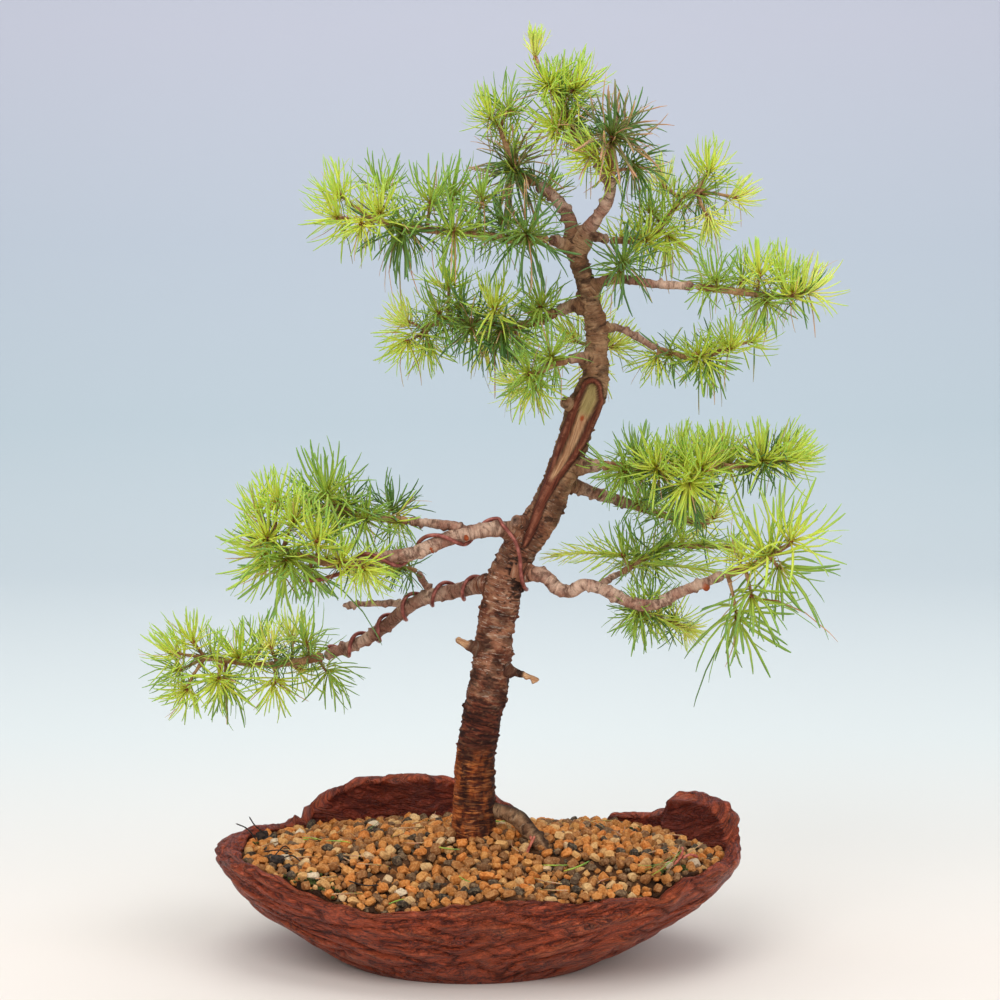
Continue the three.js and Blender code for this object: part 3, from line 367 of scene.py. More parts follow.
        "tufts": [(80, -20, 482, 33, DEEP_BROWN, LEVEL), (67, -21, 471, 23, YOUNG, LEVEL),
                  (94, -6, 464, 24, DEEP, DOWN), (88, -2, 488, 24, DEEP, UP)],
    },
    "leader": {
        "fullness": 1.15,
        "core": [(62, 0, 480, 1.9), (56, 2, 488, 1.9), (52, 4, 500, 1.8), (45, 4, 510, 1.5),
                 (37, 4, 524, 1.3)],
        "tufts": [(37, 4, 526.5, 20, PALE, UPRIGHT), (45, -5, 511, 21, YOUNG, LEVEL),
                  (53, 12, 507, 23, MID, UP), (60, -2, 509, 25, YOUNG, LEVEL),
                  (49, -5, 487, 23, YOUNG, LEVEL), (58, 10, 489, 19, DEEP, LEVEL)],
    },
    "right_of_fork": {
        "core": [(80, 4, 422, 1.9), (100, 12, 423, 1.8), (112, 15, 432, 1.7), (123, 18, 447, 1.5),
                 (136, 21, 451, 1.1)],
        "tufts": [(101, 2, 423, 25, YOUNG, LEVEL), (115, 18, 423, 25, YOUNG, DOWN),
                  (103, 5, 440, 21, MID, UP), (111, 27, 454, 20, PALE, UP),
                  (134, 24, 449, 22, MID, LEVEL), (138, 17, 463, 21, YOUNG, UP),
                  (155, 27, 446, 19, PALE, LEVEL), (138, 12, 433, 19, PALE, DOWN)],
    },
}

# Needles: the bends of the shapes, how often each is taken in a tuft and on a shoot, the share
# of the width that thin ones have, how far one turns on from the one before, the length at
# which a tuft has its usual count, and the height above which tufts have hanging needles
BENDS = (0.08, 0.22, 0.38, 0.54, 0.72)
TUFT_BENDS = (2, 4, 5, 5, 3)
SHOOT_BENDS = (4, 4, 2, 1, 0)
THIN = 0.5
GOLDEN_TURN = 2.39996
USUAL_LENGTH = 25
UPPER_TUFTS = 340

# Small tufts between the others: their spacing along the branch, the length of their twig, the
# range of needle lengths, the needles in each and the share of dry ones
FILLER_SPACING = 7.5
FILLER_TWIG = 2.4
FILLER_LENGTHS = (15, 21)
FILLER_NEEDLES = 20
FILLER_DRY = 0.06

# Training wire: a coil on the low left branch, round the trunk, a coil on the main left branch
WIRE_RADIUS = 1.2
WIRE_SIDES = 12
WIRE_GAP = 0.4
SPOTS_PER_TURN = 9
WIRE_ROUND_TRUNK = [(9, 14, 223), (18, 16.5, 220), (26, 14.5, 219), (31, 9.5, 218.5),
                    (32.6, 2.5, 219), (31.8, -4.6, 220.5), (30, -9.6, 225.5), (29, -10.6, 232),
                    (28.5, -11, 240), (26.5, -11.3, 248), (23, -11.5, 254), (18.5, -10, 259)]
WIRE_TAIL = [(-67, -21.5, 240), (-71, -24, 234.5), (-78, -31, 233), (-87, -35, 231),
             (-96, -33, 231)]
WIRE_TURNS_LOW_LEFT = 5
WIRE_TURNS_MAIN_LEFT = -2

# Finds on the gravel. Moss: x, y, spread of the lumps. Charcoal: x, y, radius. Roots: x, y,
# height above the soil. Grass: from x, y to x, y
FALLEN_NEEDLES = 48
MOSS_LUMPS = 26
MOSS = [(-96, -53, 5), (-88, -57, 4), (-82, -60, 5), (-34, 50, 4), (-28, 53, 5), (86, -55, 5),
        (112, -44, 5), (120, -38, 4), (-128, 16, 5), (100, 46, 4)]
CHARCOAL = [(-127, 25, 4.6), (-112, -31, 5), (-122, 18, 3.2), (-116, -24, 3.2), (-106, -40, 3.2)]
ROOTLETS = [[(-122, -18, 6), (-112, -26, 9), (-104, -24, 6)],
            [(-116, -30, 5), (-109, -26, 11), (-106, -17, 6)],
            [(-112, -36, 6), (-104, -34, 8), (-98, -40, 6)],
            [(-128, 8, 6), (-134, 10, 13), (-141, 12, 16)],
            [(-124, 22, 6), (-130, 20, 12), (-134, 24, 17)],
            [(-70, -56, 5), (-60, -58, 6), (-52, -56, 5)]]
RED_ROOT = [[(117, -42, 5), (122, -38, 10), (123, -31, 13)],
            [(122, -38, 8), (127, -36, 10), (132, -34, 8)],
            [(32, -23, -1), (34, -23, 5), (37.5, -22, 13)],
            [(35.5, -22.6, 9.5), (34.5, -22, 12.5)]]
GRASS = [((104, -52), (124, -36)), ((108, -46), (136, -28)), ((100, -48), (118, -44)),
         ((112, -54), (122, -30)), ((96, -44), (110, -52)), ((-62, 8), (-54, 16))]

# Where each piece's random choices start
SEEDS = {"gravel": 41, "needles": 900, "twigs": 300, "fallen_needles": 77, "moss": 5,
         "charcoal": 12}

# Stage: floor and backdrop in metres, soft boxes by place, aim, size and power, the even light
# from all round, and the camera's sensor in millimetres
FLOOR_WIDTH = 6.0
FLOOR_FRONT = -3.0
FLOOR_BACK = 1.3
BACKDROP_HEIGHT = 2.6
BACKDROP_BEND = 0.9
BEND_STEPS = 12
LIGHTS = {
    "key": ((-0.8, -1.5, 1.9), (0, 0, 0.28), 1.6, 24),
    "fill": ((1.5, -1.3, 1.0), (0, 0, 0.25), 1.8, 12),
    "top": ((0.1, 0.2, 2.2), (0, 0, 0.2), 1.6, 17),
    "backdrop": ((0, 0.7, 2.3), (0, 2.2, 0.9), 2.2, 9),
}
ROOM_LIGHT = 0.72
SENSOR_WIDTH = 36


def srgb(red, green, blue):
    """A colour given as it shows on screen, from 0 to 255, as linear numbers."""
    def linear(level):
        share = level / 255
        return share / 12.92 if share <= 0.04045 else ((share + 0.055) / 1.055) ** 2.4
    return (linear(red), linear(green), linear(blue))


# Settings that a user would change, and what all lengths and all colours among them share

LENGTH = {"min": 0, "unit": "LENGTH", "subtype": "DISTANCE"}
COLOUR = {"min": 0, "max": 1, "subtype": "COLOR"}


class PotSettings(PropertyGroup):
    fold_depth: FloatProperty(name="Fold depth", description="How far the clay's folds stand out",
                              default=2.9 * MM, **LENGTH)
    crease_depth: FloatProperty(name="Crease depth", description="Depth of the cracks in the clay",
                                default=0.9 * MM, **LENGTH)
    clay: FloatVectorProperty(name="Clay", description="Colour of the fired clay",
                              default=srgb(170, 70, 36), **COLOUR)
    # Painted highlight on the tops of the folds
    ridge: FloatVectorProperty(name="Ridges", description="Colour on top of the folds",
                               default=srgb(200, 112, 66), **COLOUR)
    # Painted shade deep in the folds and in the clay's cracks
    crease: FloatVectorProperty(name="Creases", description="Colour deep in the folds",
                                default=srgb(34, 11, 9), **COLOUR)


class GravelSettings(PropertyGroup):
    spacing: FloatProperty(name="Spacing", description="Distance between grains of the bed",
                           default=5.2 * MM, min=1 * MM, unit="LENGTH", subtype="DISTANCE")
    smallest: FloatProperty(name="Smallest", description="Radius of the smallest grain",
                            default=1.8 * MM, **LENGTH)
    largest: FloatProperty(name="Largest", description="Radius of the largest usual grain",
                           default=3.7 * MM, **LENGTH)


class WoodSettings(PropertyGroup):
    bark_relief: FloatProperty(name="Bark relief", description="Height of the bark's plates",
                               default=0.7 * MM, **LENGTH)
    scar_depth: FloatProperty(name="Scar depth", description="Depth of the bare wood in the scar",
                              default=3.2 * MM, **LENGTH)
    rim_height: FloatProperty(name="Scar rims", description="Height of the rolled bark",
                              default=1.2 * MM, **LENGTH)


class NeedleSettings(PropertyGroup):
    per_tuft: IntProperty(name="Per tuft", description="Needles in a usual tuft", default=50, min=1)
    width: FloatProperty(name="Width", description="A needle's width as a share of its length",
                         default=0.05, min=0.01, max=0.2, subtype="FACTOR")
    dry_share: FloatProperty(name="Dry", description="Share of needles that have dried brown",
                             default=0.03, min=0, max=1, subtype="FACTOR")


class StageSettings(PropertyGroup):
    lens: FloatProperty(name="Lens", description="Focal length of the camera in millimetres",
                        default=93.85, min=10)
    pitch: FloatProperty(name="Pitch", description="How far the camera looks down",
                         default=math.radians(8.303), subtype="ANGLE")
    place: FloatVectorProperty(name="Place", description="Where the camera stands",
                               default=(0.017, -1.5, 0.491), subtype="TRANSLATION")


# Materials: maths on sockets is written as Python expressions


def arithmetic(operation, reflected=False):
    """A method that adds a Math node to its signal's finish."""
    def method(self, other):
        values = (other, self) if reflected else (self, other)
        return self.finish.math(operation, *values)
    return method


class Signal:
    """An output of a material's node. Arithmetic on it adds Math nodes."""

    def __init__(self, finish, socket):
        self.finish = finish
        self.socket = socket

    __add__ = __radd__ = arithmetic("ADD")
    __sub__ = arithmetic("SUBTRACT")
    __rsub__ = arithmetic("SUBTRACT", reflected=True)
    __mul__ = __rmul__ = arithmetic("MULTIPLY")
    __truediv__ = arithmetic("DIVIDE")


class Finish:
    """A material in the making. Constants go straight on the surface's sockets."""

    def __init__(self, name, constants):
        self.material = bpy.data.materials.new(name)
        self.material.use_nodes = True
        self.tree = self.material.node_tree
        self.surface = self.tree.nodes["Principled BSDF"]
        for socket, value in constants.items():
            self.surface.inputs[socket].default_value = value

    def feed(self, socket, value):
        if isinstance(value, Signal):
            self.tree.links.new(value.socket, socket)
        elif isinstance(value, (tuple, list)) and socket.type == "RGBA":
            socket.default_value = (*value[:3], 1)
        else:
            socket.default_value = value

    def node(self, kind, settings, sockets, output=0):
        made = self.tree.nodes.new(kind)
        for setting, value in settings.items():
            if setting == "stops":
                self.set_stops(made.color_ramp, value)
            else:
                setattr(made, setting, value)
        for socket, value in sockets.items():
            self.feed(made.inputs[socket], value)
        return Signal(self, made.outputs[output])

    @staticmethod
    def set_stops(ramp, stops):
        while len(ramp.elements) < len(stops):
            ramp.elements.new(1)
        for element, (position, tone) in zip(ramp.elements, stops):
            element.position = position
            element.color = (*srgb(*tone), 1)

    def math(self, operation, *values):
        sockets = dict(enumerate(values))
        return self.node("ShaderNodeMath", {"operation": operation}, sockets)

    def clamp(self, value):
        return self.node("ShaderNodeClamp", {}, {"Value": value})

    def step(self, value, low, high):
        """0 below low, 1 above high, smooth between."""
        return self.node("ShaderNodeMapRange", {"interpolation_type": "SMOOTHSTEP"},
                         {"Value": value, "From Min": low, "From Max": high})

    def crest(self, value):
        """0 along thin lines where the noise passes its middle, rising to both sides."""
        return self.math("ABSOLUTE", value - 0.5)

    def mix(self, factor, first, second, blend="MIX"):
        return self.node("ShaderNodeMix", {"data_type": "RGBA", "blend_type": blend},
                         {0: factor, 6: first, 7: second}, 2)

    def over(self, below, share, low, high, tone, strength=1.0):
        """Lays a tone on a colour where share passes from low to high."""
        return self.mix(self.step(share, low, high) * strength, below, srgb(*tone))

    def blend(self, share, low, high, first, second):
        """From one tone to another as share passes from low to high."""
        return self.over(srgb(*first), share, low, high, second)

    def ramp(self, factor, stops):
        return self.node("ShaderNodeValToRGB", {"stops": stops}, {"Fac": factor}, "Color")

    def place(self):
        return self.node("ShaderNodeTexCoord", {}, {}, "Object")

    def attribute(self, name, output="Fac"):
        return self.node("ShaderNodeAttribute", {"attribute_name": name}, {}, output)

    def stretched(self, vector, factors):
        return self.node("ShaderNodeVectorMath", {"operation": "MULTIPLY"}, {0: vector, 1: factors})

    def noise(self, where, scale, detail=3, roughness=0.55, distortion=0):
        sockets = {"Vector": where, "Scale": scale, "Detail": detail, "Roughness": roughness,
                   "Distortion": distortion}
        return self.node("ShaderNodeTexNoise", {}, sockets)

    def cells(self, where, scale):
        return self.node("ShaderNodeTexVoronoi", {}, {"Vector": where, "Scale": scale}, "Distance")

    def bump(self, height, distance, strength=1.0):
        normal = self.node("ShaderNodeBump", {}, {"Strength": strength, "Distance": distance,
                                                  "Height": height}, "Normal")
        self.feed(self.surface.inputs["Normal"], normal)

    def colour(self, value):
        self.feed(self.surface.inputs["Base Color"], value)

    def roughness(self, value):
        self.feed(self.surface.inputs["Roughness"], value)


def clay_finish(settings):
    """Reddish-brown clay with a dull sheen, with painted shade in its creases and on its inner
    face, and painted highlights on its ridges.
    """
    clay = Finish("bark_textured_clay", {"Specular IOR Level": 0.4})
    flow = clay.attribute("flow", "Vector")
    crease = clay.attribute("crease")
    high = clay.attribute("high")
    where = clay.place()
    broad = clay.noise(flow, 26, 3, 0.6)
    wrinkles = clay.crest(clay.noise(clay.stretched(flow, (0.26, 0.26, 1)), 150, 4, 0.62, 0.9))
    lines = clay.crest(clay.noise(clay.stretched(flow, (0.5, 0.5, 1)), 400, 4, 0.66, 0.6))
    skin = clay.noise(clay.stretched(flow, (0.7, 0.7, 1.4)), 520, 5, 0.7, 0.4)
    grain = clay.noise(where, 1500, 4, 0.7)
    # Painted shade: the clay darkens towards the wrinkles' creases
    body = clay.mix(clay.step(wrinkles, 0.0, 0.06), srgb(112, 38, 21), tuple(settings.clay))
    body = clay.over(body, broad, 0.46, 0.68, (170, 78, 40), 0.5)
    # Painted highlight on the tops of the folds
    body = clay.mix(clay.clamp(high) * clay.step(skin, 0.42, 0.64) * 0.55, body,
                    tuple(settings.ridge))
    body = clay.over(body, skin, 0.42, 0.3, (76, 25, 15), 0.4)
    # Painted shade in the wrinkles' creases, the fine cracks and the deep creases
    body = clay.mix(clay.step(wrinkles, 0.014, 0.0) * 0.7, body, tuple(settings.crease))
    body = clay.mix(clay.step(lines, 0.014, 0.0) * 0.45, body, tuple(settings.crease))
    body = clay.mix(clay.clamp(crease * 0.8), body, tuple(settings.crease))
    # Painted shade on the pot's inner face
    body = clay.mix(clay.attribute("inside") * 0.6, body, srgb(88, 18, 12))
    rust = clay.step(clay.noise(where, 340, 4, 0.7), 0.62, 0.7)
    body = clay.mix(rust * 0.35, body, srgb(190, 116, 82))
    clay.colour(body)
    clay.roughness(grain * 0.3 + 0.24 + crease * 0.25)
    relief = clay.step(wrinkles, 0.0, 0.1) * 0.8 + clay.step(lines, 0.0, 0.07) * 0.3
    clay.bump(relief + skin * 0.6 + grain * 0.14, 2.0 * MM)
    return clay.material


def soil_finish():
    """Fine dark earth that shows between the grains."""
    soil = Finish("fine_soil", {"Roughness": 0.95, "Specular IOR Level": 0.2})
    where = soil.place()
    soil.colour(soil.blend(soil.noise(where, 60, 4), 0.35, 0.65, (54, 34, 22), (100, 66, 40)))
    soil.bump(soil.cells(where, 420), 1.5 * MM)
    return soil.material


def grain_finish():
    """Ochre and tan gravel with grey, cream and black grains among it."""
    gravel = Finish("gravel_grains", {"Specular IOR Level": 0.3})
    stones = [
        (0.0, (40, 36, 32)), (0.05, (76, 62, 48)), (0.12, (108, 80, 54)),
        (0.26, (156, 102, 54)), (0.42, (184, 120, 58)), (0.56, (202, 130, 58)),
        (0.7, (218, 130, 54)), (0.82, (210, 150, 80)), (0.95, (222, 180, 122)),
        (0.995, (226, 206, 174)),
    ]
    pick = gravel.attribute("grain")
    where = gravel.place()
    mottle = gravel.noise(where, 700, 4, 0.65)
    pits = gravel.noise(where, 2400, 3, 0.6)
    tint = gravel.ramp(pick, stones)
    tint = gravel.mix(gravel.step(mottle, 0.4, 0.7) * 0.5, tint, srgb(150, 100, 56), "MULTIPLY")
    tint = gravel.over(tint, mottle, 0.55, 0.3, (232, 200, 150), 0.22)
    gravel.colour(tint)
    gravel.roughness(pits * 0.3 + 0.62)
    gravel.bump(mottle * 0.6 + pits * 0.5, 0.5 * MM, 0.9)
    return gravel.material


def bark_finish():
    """Ringed flaking bark: rusty at the base, brown above, with the scar's bare wood, painted
    highlights on crests and painted shade.
    """
    bark = Finish("larch_bark", {"Specular IOR Level": 0.2})
    flow = bark.attribute("flow", "Vector")
    rise = bark.attribute("rise")
    thin = bark.clamp(bark.attribute("thin"))
    bare = bark.clamp(bark.attribute("bare"))
    rolled = bark.clamp(bark.attribute("rolled"))
    dark = bark.attribute("dark")
    orange = bark.attribute("orange")
    ridge = bark.attribute("ridge")
    rings = bark.noise(bark.stretched(flow, (0.17, 0.17, 1)), 560, 4, 0.62, 0.6)
    plates = bark.noise(bark.stretched(flow, (0.55, 0.55, 1)), 230, 5, 0.65, 0.6)
    patches = bark.noise(flow, 80, 3, 0.6)
    scratches = bark.step(bark.noise(bark.stretched(flow, (0.16, 0.16, 1)), 900, 3, 0.6, 1.2),
                          0.58, 0.66)
    fine = bark.noise(flow, 1700, 3, 0.7)

    tall = bark.noise(bark.stretched(flow, (1.3, 1.3, 0.5)), 110, 4, 0.6)
    low = bark.blend(tall, 0.42, 0.58, (88, 36, 20), (164, 82, 36))
    # Painted highlight on the ring crests of the low trunk
    low = bark.over(low, rings, 0.5, 0.66, (222, 134, 70), 0.8)
    low = bark.over(low, rings, 0.47, 0.37, (46, 19, 13), 0.6)
    low = bark.over(low, tall, 0.46, 0.34, (40, 16, 12), 0.45)
    wet = bark.blend(rings, 0.4, 0.62, (48, 20, 16), (122, 60, 40))
    middle = bark.blend(patches, 0.38, 0.6, (118, 64, 45), (166, 110, 82))
    middle = bark.over(middle, plates, 0.5, 0.66, (198, 152, 120), 0.7)
    middle = bark.mix(scratches * 0.8, middle, srgb(232, 206, 184))
    middle = bark.over(middle, plates, 0.47, 0.35, (44, 26, 21), 0.85)
    high = bark.blend(patches, 0.38, 0.62, (132, 92, 64), (178, 138, 102))
    high = bark.mix(scratches * 0.4, high, srgb(212, 180, 146))
    high = bark.over(high, plates, 0.48, 0.36, (66, 42, 30), 0.8)
    twiggy = bark.blend(patches, 0.38, 0.64, (168, 118, 98), (222, 184, 160))
    twiggy = bark.over(twiggy, plates, 0.52, 0.38, (100, 64, 50), 0.75)
    twiggy = bark.over(twiggy, fine, 0.56, 0.66, (218, 196, 168), 0.4)
    trunk = bark.mix(bark.step(rise + rings * 0.04, 0.19, 0.215), low, wet)
    trunk = bark.mix(bark.step(rise + plates * 0.1, 0.29, 0.35), trunk, middle)
    trunk = bark.mix(bark.step(rise, 0.5, 0.66), trunk, high)
    skin = bark.mix(thin, trunk, twiggy)
    skin = bark.over(skin, rings, 0.46, 0.34, (52, 30, 24), 0.5)
    # Painted highlight on the ring crests and on the bulge of the scar's rolled rims
    skin = bark.mix(bark.clamp(ridge) * 0.5 * (1 - thin), skin, srgb(176, 120, 84))

    lines = bark.noise(bark.stretched(flow, (3.2, 3.2, 0.12)), 520, 3, 0.6, 0.2)
    wood = bark.blend(lines, 0.35, 0.68, (176, 122, 84), (226, 184, 142))
    olive = bark.step(rise, 0.72, 0.742)
    wood = bark.mix(olive * 0.8, wood, srgb(168, 154, 96))
    wood = bark.over(wood, lines, 0.42, 0.3, (104, 64, 42), 0.5)
    roll = bark.blend(lines, 0.3, 0.72, (74, 32, 22), (124, 64, 43))
    # Painted highlight along the crests of the rolled rims
    roll = bark.mix(bark.clamp(ridge) * bark.step(plates, 0.35, 0.6) * 0.7, roll,
                    srgb(172, 108, 82))
    skin = bark.mix(rolled, skin, roll)
    skin = bark.mix(bare, skin, wood)
    skin = bark.mix(bark.clamp(orange), skin, srgb(176, 84, 44))
    # Darker marks of the bark, with painted shade on the low trunk's right side, in the scar's edge
    # grooves, beside the wire and under the root
    skin = bark.mix(bark.clamp(dark), skin, srgb(30, 17, 14))
    bark.colour(skin)
    bark.roughness(fine * 0.25 + 0.6)
    smooth_wood = bark.clamp(bare + rolled)
    relief = bark.step(rings, 0.35, 0.65) * 0.45 + plates * 1.5 + fine * 0.3 + scratches * 0.12
    calm = lines * 0.9 + fine * 0.12
    bark.bump(relief * (1 - smooth_wood) + calm * smooth_wood, 1.6 * MM)
    return bark.material


def twig_finish():
    """Thin tan twigs with brown bud scales."""
    twig = Finish("larch_twig", {"Specular IOR Level": 0.3})
    flow = twig.attribute("flow", "Vector")
    bud = twig.attribute("bud")
    patches = twig.noise(flow, 160, 3, 0.6)
    rings = twig.noise(twig.stretched(flow, (0.4, 0.4, 1)), 900, 3, 0.6)
    stem = twig.blend(patches, 0.36, 0.64, (132, 88, 58), (190, 148, 104))
    stem = twig.over(stem, rings, 0.48, 0.34, (88, 52, 36), 0.6)
    scales = twig.blend(rings, 0.35, 0.65, (108, 58, 34), (172, 104, 58))
    fresh = twig.clamp(twig.attribute("fresh"))
    green = twig.blend(patches, 0.36, 0.64, (158, 168, 76), (206, 214, 104))
    twig.colour(twig.mix(fresh, twig.mix(twig.clamp(bud), stem, scales), green))
    twig.roughness(rings * 0.2 + 0.6)
    twig.bump(rings * 0.8 + patches * 0.4, 0.8 * MM, 0.9)
    return twig.material


def needle_finish():
    """Soft needles, yellow-green where they are young, darker and bluer with age."""
    needle = Finish("larch_needles", {
        "Roughness": 0.5, "Specular IOR Level": 0.25, "Subsurface Weight": 0.42,
        "Subsurface Radius": (0.4, 0.8, 0.15), "Subsurface Scale": 1.2 * MM,
    })
    chart = needle.node("ShaderNodeUVMap", {"uv_map": BAKE_MAP}, {})
    age = needle.node("ShaderNodeSeparateXYZ", {}, {0: chart}, "X")
    along = needle.node("ShaderNodeSeparateXYZ", {}, {0: chart}, "Y")
    at_base = needle.ramp(age, [
        (0.04, (140, 86, 52)), (0.16, (134, 142, 66)), (DEEP, (152, 168, 70)),
        (MID, (200, 208, 84)), (YOUNG, (238, 238, 94)), (PALE, (246, 246, 136)),
    ])
    at_middle = needle.ramp(age, [
        (0.04, (192, 136, 104)), (0.16, (82, 112, 56)), (DEEP, (94, 126, 60)),
        (MID, (164, 190, 76)), (YOUNG, (216, 230, 88)), (PALE, (234, 240, 118)),
    ])
    at_tip = needle.ramp(age, [
        (0.04, (208, 158, 126)), (0.17, (190, 136, 100)), (0.24, (84, 118, 78)),
        (MID, (124, 160, 78)), (YOUNG, (170, 202, 88)), (PALE, (206, 228, 112)),
    ])
    body = needle.mix(needle.step(along, 0.02, 0.5), at_base, at_middle)
    needle.colour(needle.mix(needle.step(along, 0.5, 0.98), body, at_tip))
    return needle.material


def wire_finish():
    """Copper-brown anodised wire with a satin sheen."""
    wire = Finish("anodised_wire", {"Metallic": 0.55})
    where = wire.place()
    wear = wire.noise(where, 260, 4, 0.6)
    scratches = wire.noise(wire.stretched(where, (1, 1, 3)), 2200, 2, 0.6)
    wire.colour(wire.blend(wear, 0.4, 0.66, (128, 66, 58), (178, 108, 96)))
    wire.roughness(scratches * 0.2 + 0.3)
    wire.bump(scratches, 0.12 * MM, 0.5)
    return wire.material


def plastic_finish():
    """Black plastic mesh, dusty with soil."""
    plastic = Finish("drain_mesh_plastic", {"Specular IOR Level": 0.4})
    dust = plastic.noise(plastic.place(), 300, 4, 0.6)
    plastic.colour(plastic.blend(dust, 0.45, 0.7, (26, 28, 28), (78, 62, 48)))
    plastic.roughness(dust * 0.4 + 0.4)
    plastic.bump(dust, 0.2 * MM, 0.6)
    return plastic.material


def moss_finish():
    """Dark green and brown moss."""
    moss = Finish("moss", {"Roughness": 0.9, "Specular IOR Level": 0.2})
    where = moss.place()
    patches = moss.noise(where, 420, 3, 0.6)
    tufts = moss.noise(where, 2600, 3, 0.7)
    moss.colour(moss.blend(patches, 0.38, 0.62, (46, 52, 30), (98, 110, 54)))
    moss.bump(tufts, 1.2 * MM)
    return moss.material


def charcoal_finish():
    """Near-black charcoal and dead rootlets."""
    coal = Finish("charcoal_and_dead_roots", {"Specular IOR Level": 0.35})
    where = coal.place()
    patches = coal.noise(where, 500, 4, 0.6)
    pits = coal.noise(where, 2200, 3, 0.7)
    coal.colour(coal.blend(patches, 0.4, 0.66, (26, 22, 20), (66, 50, 40)))
    coal.roughness(pits * 0.35 + 0.5)
    coal.bump(pits * 0.6 + patches, 0.6 * MM)
    return coal.material


def clay_root_finish():
    """A living reddish root."""
    root = Finish("reddish_root", {"Specular IOR Level": 0.3})
    where = root.place()
    patches = root.noise(where, 360, 3, 0.6)
    root.colour(root.blend(patches, 0.38, 0.62, (152, 66, 52), (198, 118, 96)))
    root.roughness(patches * 0.3 + 0.5)
    root.bump(patches, 0.5 * MM, 0.8)
    return root.material


# Shared shapes


def catmull_rom(points, share):
    """A spot on the centripetal curve through the points, share running from 0 to 1."""
    last = len(points) - 1
    at = share * last
    first = min(int(at), last - 1)
    weight = at - first
    p1, p2 = points[first], points[first + 1]
    p0 = points[first - 1] if first > 0 else p1 * 2 - p2
    p3 = points[first + 2] if first + 2 <= last else p2 * 2 - p1
    d0, d1, d2 = (max((b - a).length, 1e-6) ** 0.5 for a, b in ((p0, p1), (p1, p2), (p2, p3)))
    m1 = ((p1 - p0) / d0 - (p2 - p0) / (d0 + d1) + (p2 - p1) / d1) * d1
    m2 = ((p2 - p1) / d1 - (p3 - p1) / (d1 + d2) + (p3 - p2) / d2) * d1
    bend, twist = (p2 - p1) * 3 - m1 * 2 - m2, (p1 - p2) * 2 + m1 + m2
    return p1 + m1 * weight + bend * weight ** 2 + twist * weight ** 3


class Course:
    """A smooth path with a radius, sampled at even steps. Lengths are in millimetres."""

    def __init__(self, path, step):
        points = [Vector(spot[:3]) for spot in path]
        radii = [spot[3] if len(spot) > 3 else 0 for spot in path]
        dense = 16 * (len(path) - 1)
        raw = [catmull_rom(points, i / dense) for i in range(dense + 1)]
        reached = [0.0]
        for before, after in zip(raw, raw[1:]):
            reached.append(reached[-1] + (after - before).length)
        self.length = reached[-1]
        self.count = max(2, round(self.length / step))
        self.along = [self.length * i / self.count for i in range(self.count + 1)]
        shares = np.interp(self.along, reached, np.linspace(0, 1, dense + 1))
        self.spots = [catmull_rom(points, share) for share in shares]
        self.radii = list(np.interp(shares, np.linspace(0, 1, len(path)), radii))
        self.tangents = []
        for i in range(self.count + 1):
            ahead = self.spots[min(i + 1, self.count)] - self.spots[max(i - 1, 0)]
            self.tangents.append(ahead.normalized())

    def at(self, along):
        """The spot at a length along the path."""
        near = min(max(along / self.length * self.count, 0), self.count)
        low = min(int(near), self.count - 1)
        return self.spots[low].lerp(self.spots[low + 1], near - low)

    def fronts(self):
        """Directions across the path, towards the viewer at its start and never twisting."""
        front = Vector((0, -1, 0))
        if abs(self.tangents[0].y) > 0.9:
            front = UPWARD
        made = []
        for tangent in self.tangents:
            front = (front - tangent * front.dot(tangent)).normalized()
            made.append(front.copy())
        return made


def rolled_sheet(bm, rows, columns, place):
    """A grid whose long edges meet, and whose end rows shrink to a point.

    place(row, turn) gives the corner of a row at a share of a full turn, in metres, and its
    values for the layers.
    """
    floats, vectors = bm.verts.layers.float, bm.verts.layers.float_vector
    made = bmesh.ops.create_grid(bm, x_segments=rows, y_segments=columns, size=1)["verts"]
    for vert in made:
        row = round((vert.co.x + 1) / 2 * rows)
        column = round((vert.co.y + 1) / 2 * columns)
        vert.co, values = place(row, (column % columns) / columns)
        for name, value in values.items():
            vert[floats.get(name) or vectors.get(name)] = value
    bmesh.ops.remove_doubles(bm, verts=made, dist=1e-7)


def tube(bm, course, sides, skin, shift=0.0):
    """A closed tube along a course. skin(row, angle, straight, spot) gives its reach and values.

    straight is the spot as if the course were straight, moved aside by shift.
    """
    fronts = course.fronts()

    def corner(row, turn):
        angle = math.tau * turn
        front, tangent = fronts[row], course.tangents[row]
        outward = front * math.cos(angle) + tangent.cross(front) * math.sin(angle)
        radius, along = course.radii[row], course.along[row]
        straight = Vector((radius * math.sin(angle) + shift, -radius * math.cos(angle), along))
        spot = course.spots[row] + outward * radius
        reach, values = skin(row, angle, straight, spot)
        if row in (0, course.count):
            reach = 0.0
        values["flow"] = straight * MM
        return (course.spots[row] + outward * max(0.0, reach)) * MM, values

    rolled_sheet(bm, course.count, sides, corner)


def rounded(left, radius):
    """Share of the full radius near a round end, left being the length that is left."""
    return min(1.0, math.sqrt(max(left, 0.0) / (0.6 * radius + 0.2)))


def new_sheet(*layers):
    """An empty bmesh with a flow vector and further values for each corner."""
    bm = bmesh.new()
    bm.verts.layers.float_vector.new("flow")
    for name in layers:
        bm.verts.layers.float.new(name)
    return bm


def in_scene(name, data):
    """A new object in the scene."""
    thing = bpy.data.objects.new(name, data)
    bpy.context.scene.collection.objects.link(thing)
    return thing


def piece(name, mesh, finish, slot, *nodes):
    """Makes a mesh a shown piece that rides with the tree and stands for the named nodes."""
    mesh.name = name
    mesh.materials.append(finish)
    mesh.shade_smooth()
    thing = in_scene(name, mesh)
    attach(thing, BODY)
    if nodes:
        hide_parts(*nodes)
    return thing


def dress(node, finish):
    """Gives a solid of the frame that stays its finish."""
    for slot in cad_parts[node].material_slots:
        slot.material = finish


def mesh_of(bm):
    """The mesh of a bmesh, with its faces turned outwards."""
    bmesh.ops.recalc_face_normals(bm, faces=bm.faces)
    mesh = bpy.data.meshes.new("shape")
    bm.to_mesh(mesh)
    bm.free()
    return mesh


